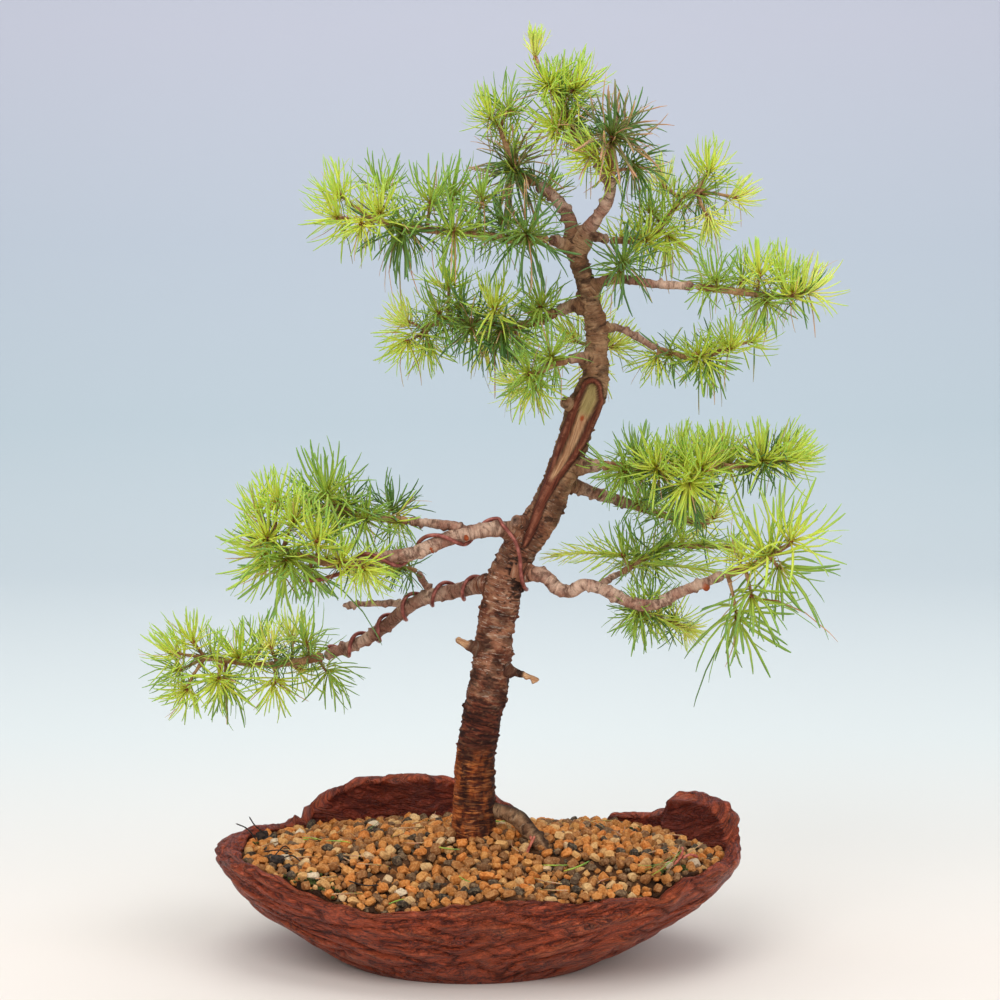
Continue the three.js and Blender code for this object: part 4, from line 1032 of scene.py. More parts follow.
class Shape:
    """A small shape, ready to be copied.

    Its corners may carry values: along runs from base to tip, across from side to side.
    """

    def __init__(self, bm):
        bm.verts.index_update()
        self.corners = np.array([vert.co[:] for vert in bm.verts])
        self.loops = np.array([vert.index for face in bm.faces for vert in face.verts])
        self.sizes = np.array([len(face.verts) for face in bm.faces])
        layers = [bm.verts.layers.float.get(name) for name in ("across", "along")]
        self.values = np.array([[vert[layer] if layer else 0.0 for layer in layers]
                                for vert in bm.verts])
        bm.free()


def copies(shapes, placed, name, mapped=False):
    """One mesh of many copies of a few shapes.

    placed holds each copy's shape, matrix and value, which the mesh carries under the name. If
    mapped, a texture map is laid out by that value, with the shape's own along as its height.
    """
    corners, loops, sizes, spread, carried = [], [], [], [], []
    used = 0
    for number, shape in enumerate(shapes):
        rows = [row for row in placed if row[0] == number]
        if not rows:
            continue
        turns = np.array([row[1] for row in rows])
        moved = np.einsum("pij,nj->pni", turns[:, :3, :3], shape.corners) + turns[:, None, :3, 3]
        size = len(shape.corners)
        starts = used + size * np.arange(len(rows))
        corners.append(moved.reshape(-1, 3))
        loops.append((shape.loops[None] + starts[:, None]).ravel())
        sizes.append(np.tile(shape.sizes, len(rows)))
        spread.append(np.tile(shape.values, (len(rows), 1)))
        carried.append(np.repeat([row[2] for row in rows], size))
        used += size * len(rows)
    corners, loops, sizes, spread, carried = (
        np.concatenate(parts) for parts in (corners, loops, sizes, spread, carried))
    mesh = bpy.data.meshes.new(name)
    mesh.vertices.add(len(corners))
    mesh.vertices.foreach_set("co", corners.ravel())
    mesh.loops.add(len(loops))
    mesh.loops.foreach_set("vertex_index", loops)
    mesh.polygons.add(len(sizes))
    mesh.polygons.foreach_set("loop_start", np.cumsum(sizes) - sizes)
    mesh.update(calc_edges=True)
    mesh.attributes.new(name, "FLOAT", "POINT").data.foreach_set("value", carried)
    if mapped:
        spread[:, 0] += carried
        flat = 0.01 + 0.98 * spread[loops]
        mesh.uv_layers.new(name=BAKE_MAP).uv.foreach_set("vector", flat.ravel())
    return mesh


def noisy(spot, scale, seed=0.0):
    """Smooth noise from -1 to 1 at a spot in millimetres; scale is its grain's size."""
    return noise.noise(Vector((spot[0] / scale + seed, spot[1] / scale, spot[2] / scale)))


def random_vector(rng):
    return Vector([rng.uniform(-1, 1) for _ in range(3)])


def smooth(low, high, value):
    share = min(max((value - low) / (high - low), 0), 1)
    return share * share * (3 - 2 * share)


# Pot


def rim_at(degrees):
    """The rim's height and the wall's thickness at an angle."""
    angle = degrees % 360
    after = next(i for i, row in enumerate(RIM) if row[0] >= angle and i)
    before, next_row = RIM[after - 1], RIM[after]
    eased = smooth(before[0], next_row[0], angle)
    return (before[1] + (next_row[1] - before[1]) * eased,
            before[2] + (next_row[2] - before[2]) * eased)


def wall_spot(degrees, level, inset):
    """A spot on the pot's wall: level 0 at the foot, 1 at the rim, inset inward."""
    angle = math.radians(degrees)
    swell = math.sin(level * math.pi / 2)
    half_width = FOOT_HALF_WIDTH + (RIM_HALF_WIDTH - FOOT_HALF_WIDTH) * swell - inset
    half_depth = FOOT_HALF_DEPTH + (RIM_HALF_DEPTH - FOOT_HALF_DEPTH) * swell - inset
    return Vector((RIM_SHIFT * swell + half_width * math.cos(angle), half_depth * math.sin(angle),
                   level * rim_at(degrees)[0]))


def clay_relief(flow):
    """Rounded folds between sharp creases, which run round the pot: their height and crease."""
    warp = 9 * noisy(flow, 40, 5.1) + 4 * noisy(flow, 16, 2.7)
    bent = (flow[0] * 0.19, flow[1] * 0.19, flow[2] + warp)
    lively = smooth(-0.35, 0.3, noisy(flow, 24, 7.7))
    wide = abs(noisy(bent, 8.5, 9.3))
    narrow = abs(noisy((bent[0] * 1.6, bent[1] * 1.6, bent[2]), 4, 1.9))
    folds = 1.8 * wide + 0.7 * lively * narrow + 0.5 * noisy(flow, 30, 12.4) - 0.55
    crease = max(0.85 - wide / 0.06, 0.6 * lively * (1 - narrow / 0.08), 0.0)
    return folds, crease


def pot_rows():
    """Rows of the pot's section from the middle of its foot over the rim to its floor."""
    rows = [("foot", 0.0), ("foot", 0.97)]
    rows += [("outside", level) for level in np.linspace(0.0, RIM_START, OUTSIDE_ROWS)]
    rows += [("rim", share) for share in np.linspace(0.06, 0.94, RIM_ROWS)]
    rows += [("inside", level) for level in np.linspace(0.95, 0.22, INSIDE_ROWS)]
    rows += [("floor", 1.0), ("floor", 0.0)]
    return rows


def build_pot(settings):
    """The pot's wall, rim and floor, rolled from one sheet with its folds and creases."""
    rows = pot_rows()
    fold, deep = settings.fold_depth / MM, settings.crease_depth / MM

    def plain(spot, **values):
        values.update(flow=spot * MM, crease=0.0, high=0.0, inside=0.0)
        return spot * MM, values

    def corner(row, turn):
        kind, value = rows[row]
        degrees = 360 * turn
        angle = math.radians(degrees)
        height, wall = rim_at(degrees)
        if kind == "foot":
            return plain(Vector((value * FOOT_HALF_WIDTH * math.cos(angle),
                                 value * FOOT_HALF_DEPTH * math.sin(angle), 0)))
        if kind == "floor":
            spot = wall_spot(degrees, POT_FLOOR / height, POT_FLOOR) * value
            spot.z = POT_FLOOR
            return plain(spot)
        level, inward, strength = value, 0.0, smooth(0, 0.12, value)
        if kind == "inside":
            inward, strength = wall, 0.9
        elif kind == "rim":
            level = RIM_START + (1 - RIM_START) * math.sin(math.pi * value)
            inward = wall * value
            strength = 0.9
        flow = Vector((RIM_HALF_WIDTH * math.cos(angle), RIM_HALF_DEPTH * math.sin(angle),
                       height * level + inward * 1.4 + 4 * math.sin(2 * angle + 0.8)
                       - 30 * math.cos(angle) ** 2))
        folds, crease = clay_relief(flow)
        out = strength * (fold * folds - deep * crease)
        if kind == "inside":
            out = -out
        spot = wall_spot(degrees, level, inward - out)
        if kind == "rim":
            spot.z += 1.6 * noisy(flow, 13, 3.3) + 0.9 * noisy(flow, 4.5, 8.8) - 0.8 * crease
        # The clay finish paints shade where crease is set, highlights where high is set, and shade
        # where inside is set
        return spot * MM, {"flow": flow * MM, "crease": crease * strength,
                           "high": strength * smooth(0.0, 0.7, folds),
                           "inside": float(kind == "inside")}

    bm = new_sheet("crease", "high", "inside")
    rolled_sheet(bm, len(rows) - 1, POT_COLUMNS, corner)
    return mesh_of(bm)


def drill(thing):
    """Cuts the two drain holes through the floor of the pot."""
    bm = bmesh.new()
    for side in (-1, 1):
        place = Matrix.Translation(Vector((side * DRAIN_X, 0, POT_FLOOR / 2)) * MM)
        bmesh.ops.create_cone(bm, cap_ends=True, segments=DRAIN_SIDES,
                              radius1=DRAIN_RADIUS * MM, radius2=DRAIN_RADIUS * MM,
                              depth=2 * POT_FLOOR * MM, matrix=place)
    bit = in_scene("bit", mesh_of(bm))
    cut = thing.modifiers.new("drain_holes", "BOOLEAN")
    cut.operation, cut.solver, cut.object = "DIFFERENCE", "EXACT", bit
    seen = thing.evaluated_get(bpy.context.evaluated_depsgraph_get())
    drilled = bpy.data.meshes.new_from_object(seen)
    spent = (thing.data, bit.data)
    thing.modifiers.clear()
    thing.data = drilled
    bpy.data.objects.remove(bit)
    for mesh in spent:
        bpy.data.meshes.remove(mesh)
    drilled.name = thing.name


# Soil and gravel


def in_pot(x, y):
    """The angle of a spot in degrees, and its distance from the middle as a share of the rim's."""
    across, deep = (x - RIM_SHIFT) / RIM_HALF_WIDTH, y / RIM_HALF_DEPTH
    return math.degrees(math.atan2(deep, across)), math.hypot(across, deep)


def soil_level(x, y):
    """Level of the soil without its grains, in millimetres."""
    degrees, share = in_pot(x, y)
    edge = min(SOIL_EDGE, rim_at(degrees)[0] - SOIL_FREEBOARD)
    return edge + (SOIL_MOUND - edge) * max(0.0, 1 - share) ** SOIL_SWEEP


def room_to_wall(x, y):
    """Distance from a spot on the soil to the pot's inner face, in millimetres."""
    degrees, _ = in_pot(x, y)
    height, wall = rim_at(degrees)
    edge = wall_spot(degrees, min(soil_level(x, y) / height, 1), wall)
    centre = Vector((RIM_SHIFT, 0))
    return (edge.xy - centre).length - (Vector((x, y)) - centre).length


def pebble_shapes(rng):
    """Broken grains with rubbed edges, each of two dozen faces."""
    shapes = []
    for _ in range(PEBBLE_KINDS):
        bm = bmesh.new()
        bmesh.ops.create_cube(bm, size=1.5)
        for vert in bm.verts:
            vert.co += random_vector(rng) * 0.38
        bmesh.ops.subdivide_edges(bm, edges=bm.edges, cuts=1, use_grid_fill=True)
        bmesh.ops.smooth_vert(bm, verts=bm.verts, factor=0.4, use_axis_x=True, use_axis_y=True,
                              use_axis_z=True)
        for vert in bm.verts:
            round_place = vert.co.normalized() * rng.uniform(0.85, 1.15)
            vert.co = vert.co.lerp(round_place, 0.58)
        squash = (rng.uniform(0.95, 1.35), rng.uniform(0.75, 1.05), rng.uniform(0.65, 0.95))
        bmesh.ops.scale(bm, vec=squash, verts=bm.verts)
        shapes.append(Shape(bm))
    return shapes


def spin(rng):
    """A random turn of a grain."""
    return (Matrix.Rotation(rng.uniform(0, math.tau), 4, "Z")
            @ Matrix.Rotation(rng.uniform(-0.9, 0.9), 4, "X")
            @ Matrix.Rotation(rng.uniform(-0.9, 0.9), 4, "Y"))


def grain(rng, x, y, lift, turn, radius, tone=None):
    """A grain above the soil: its shape, place and tone, which is random where none is given."""
    spot = Vector((x, y, soil_level(x, y) + lift))
    place = Matrix.Translation(spot * MM) @ turn @ Matrix.Scale(radius * MM, 4)
    return rng.randrange(PEBBLE_KINDS), np.array(place), rng.random() if tone is None else tone


def build_gravel(settings):
    """Grains side by side, the largest first, over a bed of darker ones that fills the gaps with
    painted shade.
    """
    rng = random.Random(SEEDS["gravel"])
    sizes = (settings.spacing, settings.smallest, settings.largest)
    pitch, low, high = (size / MM for size in sizes)
    placed, kept = [], np.zeros((0, 3))

    def keep(x, y, radius, tone):
        nonlocal kept
        kept = np.vstack((kept, (x, y, radius)))
        lift = 0.6 * radius + rng.uniform(-0.6, 0.8)
        placed.append(grain(rng, x, y, lift, spin(rng), radius, tone))

    def free(x, y, radius):
        if in_pot(x, y)[1] > 0.99:
            return False
        room = min(room_to_wall(x, y), math.hypot(x - TRUNK[0][0], y) - ROOM_FOR_TRUNK)
        return room > 0.6 * radius

    for x, y, radius in PALE_GRAINS:
        keep(x, y, radius, 1.0)
    radii = sorted((low + (high - low) * rng.random() ** 1.5 for _ in range(GRAINS)), reverse=True)
    for radius in radii:
        for _ in range(PLACES_TRIED):
            x = RIM_SHIFT + rng.uniform(-1, 1) * RIM_HALF_WIDTH
            y = rng.uniform(-1, 1) * RIM_HALF_DEPTH
            apart = np.hypot(kept[:, 0] - x, kept[:, 1] - y)
            if (apart > CLOSEST * (kept[:, 2] + radius)).all() and free(x, y, radius):
                keep(x, y, radius, 0.97 * rng.random())
                break
    rows = int(2 * RIM_HALF_DEPTH / (pitch * ROW_PITCH))
    columns = int(2 * RIM_HALF_WIDTH / pitch)
    for row, column in product(range(rows + 1), range(columns + 1)):
        x = RIM_SHIFT - RIM_HALF_WIDTH + (column + 0.5 * (row % 2) + rng.uniform(-0.3, 0.3)) * pitch
        y = -RIM_HALF_DEPTH + (row * ROW_PITCH + rng.uniform(-0.3, 0.3)) * pitch
        radius = rng.uniform(0.9, 1.3) * low
        if free(x, y, radius):
            # The bed takes only the darker tones: painted shade in the gaps between the upper
            # grains
            tone = 0.6 * rng.random()
            placed.append(grain(rng, x, y, 0.1 * radius, spin(rng), radius, tone))
    mesh = copies(pebble_shapes(rng), placed, "grain")
    mesh.set_sharp_from_angle(angle=GRAVEL_EDGES)
    return mesh


# Wood


def scar_at(x, z):
    """Distance from the scar's middle line, and the line's two half widths there."""
    best = (1e9, 1.0, 1.0)
    for (x0, z0, bare0, rim0), (x1, z1, bare1, rim1) in zip(SCAR, SCAR[1:]):
        along = Vector((x1 - x0, z1 - z0))
        from_start = Vector((x - x0, z - z0))
        share = min(max(from_start.dot(along) / along.length_squared, 0), 1)
        offset = from_start - along * share
        side = math.copysign(offset.length, offset.x)
        if abs(side) < abs(best[0]):
            best = (side, bare0 + (bare1 - bare0) * share, rim0 + (rim1 - rim0) * share)
    return best


def scarred(spot, facing, settings):
    """How far the scar moves the trunk's skin at a spot, with its bare and rolled shares."""
    if facing < 0 or not SCAR[-1][1] - 8 < spot.z < SCAR[0][1] + 9:
        return 0.0, {"bare": 0.0, "rolled": 0.0, "dark": 0.0, "orange": 0.0, "ridge": 0.0}
    side, bare_half, rim_half = scar_at(spot.x, spot.z)
    off = abs(side)
    depth, rim = settings.scar_depth / MM, settings.rim_height / MM
    seen = smooth(0.0, 0.25, facing)
    bare = 1 - smooth(bare_half * 0.8, bare_half + 0.35, off)
    bare *= smooth(SCAR_WOOD_END - 2, SCAR_WOOD_END + 4, spot.z)
    rolled = (1 - smooth(rim_half - 0.2, rim_half + 0.5, off)) * (1 - bare)
    slim = min(1.0, bare_half / 2.5)
    middle = slim * (bare_half + rim_half) / 2
    bulge = max(0.0, 1 - abs(off - middle) / max(rim_half - middle, 0.4))
    edge = max(0.0, 1 - abs(off - rim_half - 0.25) / 0.7)
    inner = slim * max(0.0, 1 - abs(off - bare_half - 0.1) / 0.55)
    push = rim * math.sin(bulge * math.pi / 2) - depth * bare * slim - 0.8 * edge
    resin = 1 - smooth(0.8, 2.4, math.hypot(spot.x - RESIN_SPOT[0], spot.z - RESIN_SPOT[1]))
    # The rims' bulge is marked for a painted highlight, and the groove at the outer edge and the
    # seam at the bare wood for painted shade
    return seen * push, {"bare": bare * seen * min(1, slim * 2), "rolled": rolled * seen,
                         "ridge": rolled * seen * smooth(0.5, 1, bulge),
                         "dark": seen * max(0.9 * edge, 0.8 * inner), "orange": resin * seen}


def near_patch(spot, straight):
    """How strongly a dark patch of the trunk's front shows at a spot, with a ragged edge."""
    ragged = 0.5 * noisy(straight, 2.2, 21) + noisy((straight[0] * 0.3, 0, straight[2]), 1.0, 4)
    return max(strength * (1 - smooth(0.6, 0.95, ragged + math.hypot((spot.x - x) / wide,
                                                                    (spot.z - z) / high)))
               for x, z, wide, high, strength in DARK_PATCHES)


def trunk_skin(course, settings):
    """The trunk's skin: plates, rings and flakes of bark, the scar, and a swell at the base."""
    relief = settings.bark_relief / MM

    def skin(row, angle, straight, spot):
        x, y, along = straight
        radius, height = course.radii[row], course.spots[row].z
        rings = 0.6 - 2.4 * abs(noisy((x * 0.2, y * 0.2, along), 3.0, 3.7))
        fine = 0.5 - 2 * abs(noisy((x * 0.3, y * 0.3, along), 1.5, 8.1))
        plates = noisy((x * 0.7, y * 0.7, along), 5.5, 11.2)
        push, shares = scarred(spot, math.cos(angle), settings)
        calm = 1 - min(1.0, shares["bare"] + shares["rolled"])
        bark = relief * (0.8 * rings + 0.4 * fine + 1.1 * plates) + 0.9 * noisy(straight, 17, 6.1)
        bark += min(1.5, 5 * max(0.0, noisy(straight, 3.1, 15.0) - 0.38))
        swell = 1.2 * smooth(96, 66, height) * (0.5 + noisy(straight, 12, 2.2))
        # Darker patches, two of them painted shade beside the wire, and darker bark where the
        # plates lie low
        dark_patches_and_shade = max(near_patch(spot, straight) * smooth(-0.1, 0.3, math.cos(angle)),
                    0.5 * smooth(0.05, 0.4, -plates))
        # Painted shade on the right side of the low trunk
        turned = (spot.x - course.spots[row].x) / radius + 0.35 * noisy(straight, 5, 1.3)
        shade = 0.62 * smooth(-0.05, 0.75, turned) * smooth(150, 118, height)
        shares["dark"] = max(shares["dark"], calm * dark_patches_and_shade, shade)
        # The ring crests are marked for a painted highlight
        shares.update(rise=(height - BARK_LOW) / BARK_SPAN, thin=0.0,
                      ridge=max(shares["ridge"], calm * smooth(0.45, 0.62, rings)))
        reach = (radius + bark * calm + swell + push) * rounded(course.length - along, radius)
        return reach, shares

    return skin


def limb_skin(course, end, seed, posts):
    """The skin of a branch, root or stub: a flared base, spurs, and its kind of end."""
    rng = random.Random(seed)
    spurs = [(rng.uniform(0.1, 0.97) * course.length, rng.uniform(0, math.tau),
              rng.uniform(0.8, 2.0), rng.uniform(1.4, 3)) for _ in range(int(course.length / 4))]
    gaps = [max(0.0, min((spot - middle).length - wide for middle, wide in posts))
            for spot in course.spots]
    flare = 0.15 if end == "buried" else 0.5
    flares = [flare * radius * math.exp(-gap / 4) for gap, radius in zip(gaps, course.radii)]

    def skin(row, angle, straight, spot):
        radius, along = course.radii[row], course.along[row]
        left = course.length - along
        values = {"rise": (course.spots[row].z - BARK_LOW) / BARK_SPAN, "bare": 0.0, "ridge": 0.0,
                  "thin": smooth(1, 14, gaps[row]), "rolled": 0.0, "dark": 0.0, "orange": 0.0}
        bark = 0.42 * noisy(straight, 2.6, seed) + 0.7 * noisy(straight, 8, seed + 3)
        for place, side, high, wide in spurs:
            apart = math.hypot(place - along, radius * math.remainder(side - angle, math.tau))
            lump = 1 - smooth(0, wide, apart)
            bark += high * lump
            values["dark"] = max(values["dark"], 0.35 * lump)
        if end == "buried":
            values["thin"] = 0.0
            values["rise"] = 0.86
            # Darker mottling, and painted shade on the root's underside
            values["dark"] = max(values["dark"], 0.3 * smooth(0.1, 0.5, noisy(straight, 4, 9)),
                                 0.8 * smooth(0.1, -0.8, math.cos(angle - 0.9)))
            bark += 0.8 * noisy((straight.x * 1.5, straight.y * 1.5, 0.2 * along), 2.2, 5)
        elif end == "broken":
            frayed = 0.34 * course.length + 3 * noisy((3 * angle, seed, 0), 1)
            values["bare"] = 1 - smooth(frayed, frayed + 2, left)
            values["thin"] = 0.0
            values["dark"] = 0.65 * (1 - values["bare"])
            bark += (0.3 + 0.7 * values["bare"]) * noisy((2.2 * angle, 0.1 * along, seed), 0.8)
            bark -= 0.5 * values["bare"]
        elif end == "cut":
            values["dark"] = float(left < 0.01)
            values["thin"] = 0.9 * (1 - smooth(0.4, 1.4, left))
            radius -= 0.6 * (1 - smooth(0, 0.8, left))
            return radius + 0.4 * bark + flares[row], values
        elif end == "orange":
            values["orange"] = 1 - smooth(0.5, 4.5, left)
        return (radius + bark + flares[row]) * rounded(left, radius), values

    return skin


def trunk_posts(trunk):
    """Spots inside the trunk with its radius there."""
    return [(trunk.spots[i], trunk.radii[i]) for i in range(0, trunk.count, 6)]


def build_wood(settings):
    """The trunk and every bare limb, as closed tubes that run into each other."""
    bm = new_sheet("rise", "thin", "bare", "rolled", "dark", "orange", "ridge")
    trunk = Course(TRUNK, TRUNK_STEP)
    tube(bm, trunk, TRUNK_SIDES, trunk_skin(trunk, settings))
    posts = trunk_posts(trunk)
    for seed, (name, path) in enumerate(LIMBS.items(), start=1):
        end = next((kind for kind, names in ENDS.items() if name in names), "plain")
        course = Course(path, LIMB_STEP)
        sides = THICK_SIDES if path[0][3] > THICK_LIMB else THIN_SIDES
        tube(bm, course, sides, limb_skin(course, end, seed, posts), 40.0 * seed)
    return mesh_of(bm)


# Training wire


def coil(path, turns, start, finish):
    """Spots of a coil round a limb that reaches to the left."""
    course = Course(path, 0.5)
    count = round(abs(turns) * SPOTS_PER_TURN)
    spots = []
    for i in range(count + 1):
        row = round((start + (finish - start) * i / count) * course.count)
        tangent = course.tangents[row]
        to_viewer = UPWARD.cross(tangent).normalized()
        upward = tangent.cross(to_viewer)
        angle = math.tau * turns * i / count
        reach = course.radii[row] + WIRE_RADIUS + WIRE_GAP
        spots.append(course.spots[row] + upward * reach * math.cos(angle)
                     + to_viewer * reach * math.sin(angle))
    return spots


def build_wire():
    """One wire from the low left branch round the trunk to the end of the main left branch."""
    spots = coil(LOW_LEFT, WIRE_TURNS_LOW_LEFT, 0.09, 0.97)[::-1]
    spots += [Vector(spot) for spot in WIRE_ROUND_TRUNK]
    spots += coil(MAIN_LEFT, WIRE_TURNS_MAIN_LEFT, 0.17, 0.95)
    spots += [Vector(spot) for spot in WIRE_TAIL]
    course = Course([(*spot, WIRE_RADIUS) for spot in spots], 1.0)

    def skin(row, angle, straight, spot):
        left = min(course.along[row], course.length - course.along[row])
        return WIRE_RADIUS * rounded(left, WIRE_RADIUS), {}

    bm = new_sheet()
    tube(bm, course, WIRE_SIDES, skin)
    return mesh_of(bm)


# Needles and twigs


def needle_shapes(width):
    """Needles a metre long, from straight to well bent, and a thinner set of the same."""
    outline = [(0, 0.6), (0.28, 1), (0.6, 1), (0.9, 0.84), (1, 0.4)]
    shapes = []
    for wide, bend in product((width, THIN * width), BENDS):
        bm = bmesh.new()
        along = bm.verts.layers.float.new("along")
        across = bm.verts.layers.float.new("across")
        bmesh.ops.create_circle(bm, cap_ends=True, segments=3, radius=1)
        tip = next(iter(bm.faces))
        for share, swell in outline:
            if share:
                inner = [tip] if len(bm.faces) > 1 else []
                made = bmesh.ops.extrude_face_region(bm, geom=[tip])["geom"]
                tip = next(part for part in made if isinstance(part, bmesh.types.BMFace))
                bmesh.ops.delete(bm, geom=inner, context="FACES_ONLY")
            middle = tip.calc_center_median()
            for vert in tip.verts:
                off = vert.co - middle
                turn = math.atan2(off.y, off.x)
                vert.co = Vector((bend * share ** 2 + 0.44 * wide * swell * math.cos(turn),
                                  0.56 * wide * swell * math.sin(turn),
                                  share * (1 - 0.3 * share * bend ** 2)))
                vert[along] = share
                vert[across] = 0.004 * math.sin(turn + 0.4)
        bmesh.ops.recalc_face_normals(bm, faces=bm.faces)
        shapes.append(Shape(bm))
    return shapes


def pointing(direction, bent_to, spot, length):
    """The matrix that lays a needle from a spot along a direction, bent towards another."""
    z = direction.normalized()
    x = (bent_to - z * bent_to.dot(z)).normalized()
    y = z.cross(x)
    turn = Matrix((x, y, z)).transposed().to_4x4()
    return np.array(Matrix.Translation(spot * MM) @ turn @ Matrix.Scale(length * MM, 4))


def tuft_needles(rng, spot, outward, length, age, count, dry_share, stem=0.0, cupped=0.0):
    """Needles of a short shoot: a cup when young, a wide drooping star when old.

    Some grow from the stem below the bud, over the length given by stem.
    """
    side = outward.orthogonal().normalized()
    other = outward.cross(side)
    start = rng.uniform(0, math.tau)
    youth = smooth(DEEP, YOUNG, age)
    widest = 110 - 16 * youth - 18 * smooth(YOUNG, PALE, age) - 44 * cupped
    steepest, widest = math.cos(math.radians(5)), math.cos(math.radians(widest))
    placed = []
    for i in range(count):
        share = (i + 0.5) / count
        tilt = math.acos(steepest + (widest - steepest) * share) + rng.uniform(-0.16, 0.16)
        turn = start + i * GOLDEN_TURN + rng.uniform(-0.3, 0.3)
        radial = side * math.cos(turn) + other * math.sin(turn)
        direction = outward * math.cos(tilt) + radial * math.sin(tilt)
        reach = length * rng.uniform(0.72, 1.09) * (0.84 + 0.16 * math.sin(min(tilt, 1.57)))
        if rng.random() < 0.35 + 0.5 * youth:
            bent_to = UPWARD * 0.7 + outward * 0.8
        else:
            bent_to = -UPWARD
        bent_to = bent_to + random_vector(rng) * 0.35
        tone = age + 0.1 * (0.5 - tilt / 2) + rng.uniform(-0.06, 0.06)
        tone = min(max(tone, 0.1), 0.99)
        shape = rng.choices(range(len(BENDS)), TUFT_BENDS)[0]
        if rng.random() < dry_share:
            tone = rng.uniform(0.02, 0.07)
            shape += len(BENDS)
        base = spot + direction * 0.5 - outward * (stem * rng.random() * share + 1.2 * rng.random())
        placed.append((shape, pointing(direction, bent_to, base, reach), tone))
    return placed


def hanging_needles(rng, spot, length):
    """Two thin old needles that hang from a tuft."""
    placed = []
    for _ in range(2):
        turn = rng.uniform(0, math.tau)
        heading = Vector((math.cos(turn), math.sin(turn), rng.uniform(-1.6, -0.2)))
        reach = length * rng.uniform(0.9, 1.25)
        shape = len(BENDS) + rng.choice((2, 3, 4))
        hung = pointing(heading, -UPWARD, spot, reach)
        placed.append((shape, hung, rng.choice((0.03, 0.06, 0.19))))
    return placed


def shoot_needles(rng, start, middle, end, long, short, age):
    """Needles of a young long shoot, like a feather: all round a stem, shorter to its tip."""
    course = Course([start, middle, end], 0.5)
    fronts = course.fronts()
    placed = []
    count = int(course.length * 1.5)
    for i in range(count):
        share = (i + 0.5) / count
        row = min(round(share * course.count), course.count)
        turn = i * GOLDEN_TURN + rng.uniform(-0.3, 0.3)
        tangent, front = course.tangents[row], fronts[row]
        radial = front * math.cos(turn) + tangent.cross(front) * math.sin(turn)
        tilt = math.radians(62 - 30 * share) + rng.uniform(-0.12, 0.12)
        direction = tangent * math.cos(tilt) + radial * math.sin(tilt)
        length = (long + (short - long) * share) * rng.uniform(0.85, 1.1)
        tone = min(max(age - 0.22 * (1 - share) + rng.uniform(-0.06, 0.06), 0.25), 0.99)
        shape = rng.choices(range(len(BENDS)), SHOOT_BENDS)[0]
        placed.append((shape, pointing(direction, tangent, course.spots[row], length), tone))
    return placed


def nearest(course, spot):
    """The place on a spray's core from which a tuft's twig grows, a little inside its ends."""
    inner = course.spots[max(1, int(0.06 * course.count)):max(2, int(0.94 * course.count))]
    return min(inner, key=lambda place: (place - spot).length)


def clear_of_trunk(matrix, posts):
    """True if a needle's tip and middle lie outside the trunk."""
    origin = Vector(matrix[:3, 3]) / MM
    ahead = Vector(matrix[:3, 2]) / MM
    for share in (0.5, 1.0):
        spot = origin + ahead * share
        if any((spot - middle).length < wide + 1 for middle, wide in posts):
            return False
    return True


def tuft_axis(course, spot, turn):
    """Where a tuft's twig starts and the direction in which the tuft faces."""
    foot = nearest(course, spot)
    outward = spot - foot
    if outward.length < 1:
        outward = course.tangents[-1].copy()
    outward = (outward.normalized() + UPWARD * turn).normalized()
    return foot, outward


def build_needles(settings, spray, seed, shapes, posts):
    """All needles of a spray: its tufts, small tufts between them, shoots and strays."""
    rng = random.Random(SEEDS["needles"] + seed)
    full = spray.get("fullness", 1)
    course = Course(spray["core"], 0.8)
    placed = []
    for x, y, z, length, age, turn in spray["tufts"]:
        spot = Vector((x, y, z))
        foot, outward = tuft_axis(course, spot, turn)
        stem = 1 if turn >= UPRIGHT else min(0.7 * (spot - foot).length, 9)
        count = round(full * settings.per_tuft * (0.7 + 0.3 * length / USUAL_LENGTH))
        dry = settings.dry_share * (3 if age < MID else 1)
        cupped = float(turn >= UPRIGHT)
        placed += tuft_needles(rng, spot, outward, length, age, count, dry, stem, cupped)
        if turn < UPRIGHT and z > UPPER_TUFTS:
            placed += hanging_needles(rng, spot, length)
    topped = any(tuft[5] >= UPRIGHT for tuft in spray["tufts"])
    leafy = (0.7 if topped else 1.0) * course.length
    fillers = round(full * leafy / FILLER_SPACING)
    for i in range(fillers):
        foot = course.at(leafy * (i + rng.uniform(0.3, 0.9)) / fillers)
        away = Vector((rng.uniform(-1, 1), rng.uniform(-1, 1), rng.uniform(-0.5, 1))).normalized()
        age = rng.choice((DEEP, MID, MID, YOUNG))
        placed += tuft_needles(rng, foot + away * FILLER_TWIG, away,
                               rng.uniform(*FILLER_LENGTHS), age, FILLER_NEEDLES, FILLER_DRY)
    for start, middle, end, long, short, age in spray.get("shoots", ()):
        placed += shoot_needles(rng, start, middle, end, long, short, age)
    for start, end, bend, age in spray.get("strays", ()):
        start, run = Vector(start), Vector(end) - Vector(start)
        aim = run + UPWARD * (BENDS[bend] * run.length)
        thin = len(BENDS) + bend
        placed.append((thin, pointing(aim, -UPWARD, start, run.length), age))
    placed = [row for row in placed if clear_of_trunk(row[1], posts)]
    return copies(shapes, placed, "age", mapped=True)


def twig_skin(course, rough, seed, bud=0.0, fresh=0.0):
    """The skin of a twig, a scaly bud or a fresh green shoot."""

    def skin(row, angle, straight, spot):
        radius = course.radii[row]
        left = min(course.along[row], course.length - course.along[row])
        scales = 0.14 * bud * math.sin(5 * angle + 2 * row)
        knobs = 0.9 * max(0.0, noisy(straight, 2.4, seed) - 0.2)
        reach = radius * (1 + scales + knobs * (1 - bud)) + rough * noisy(straight, 2.2, seed + 7)
        return reach * rounded(left, radius), {"bud": bud, "fresh": fresh}

    return skin


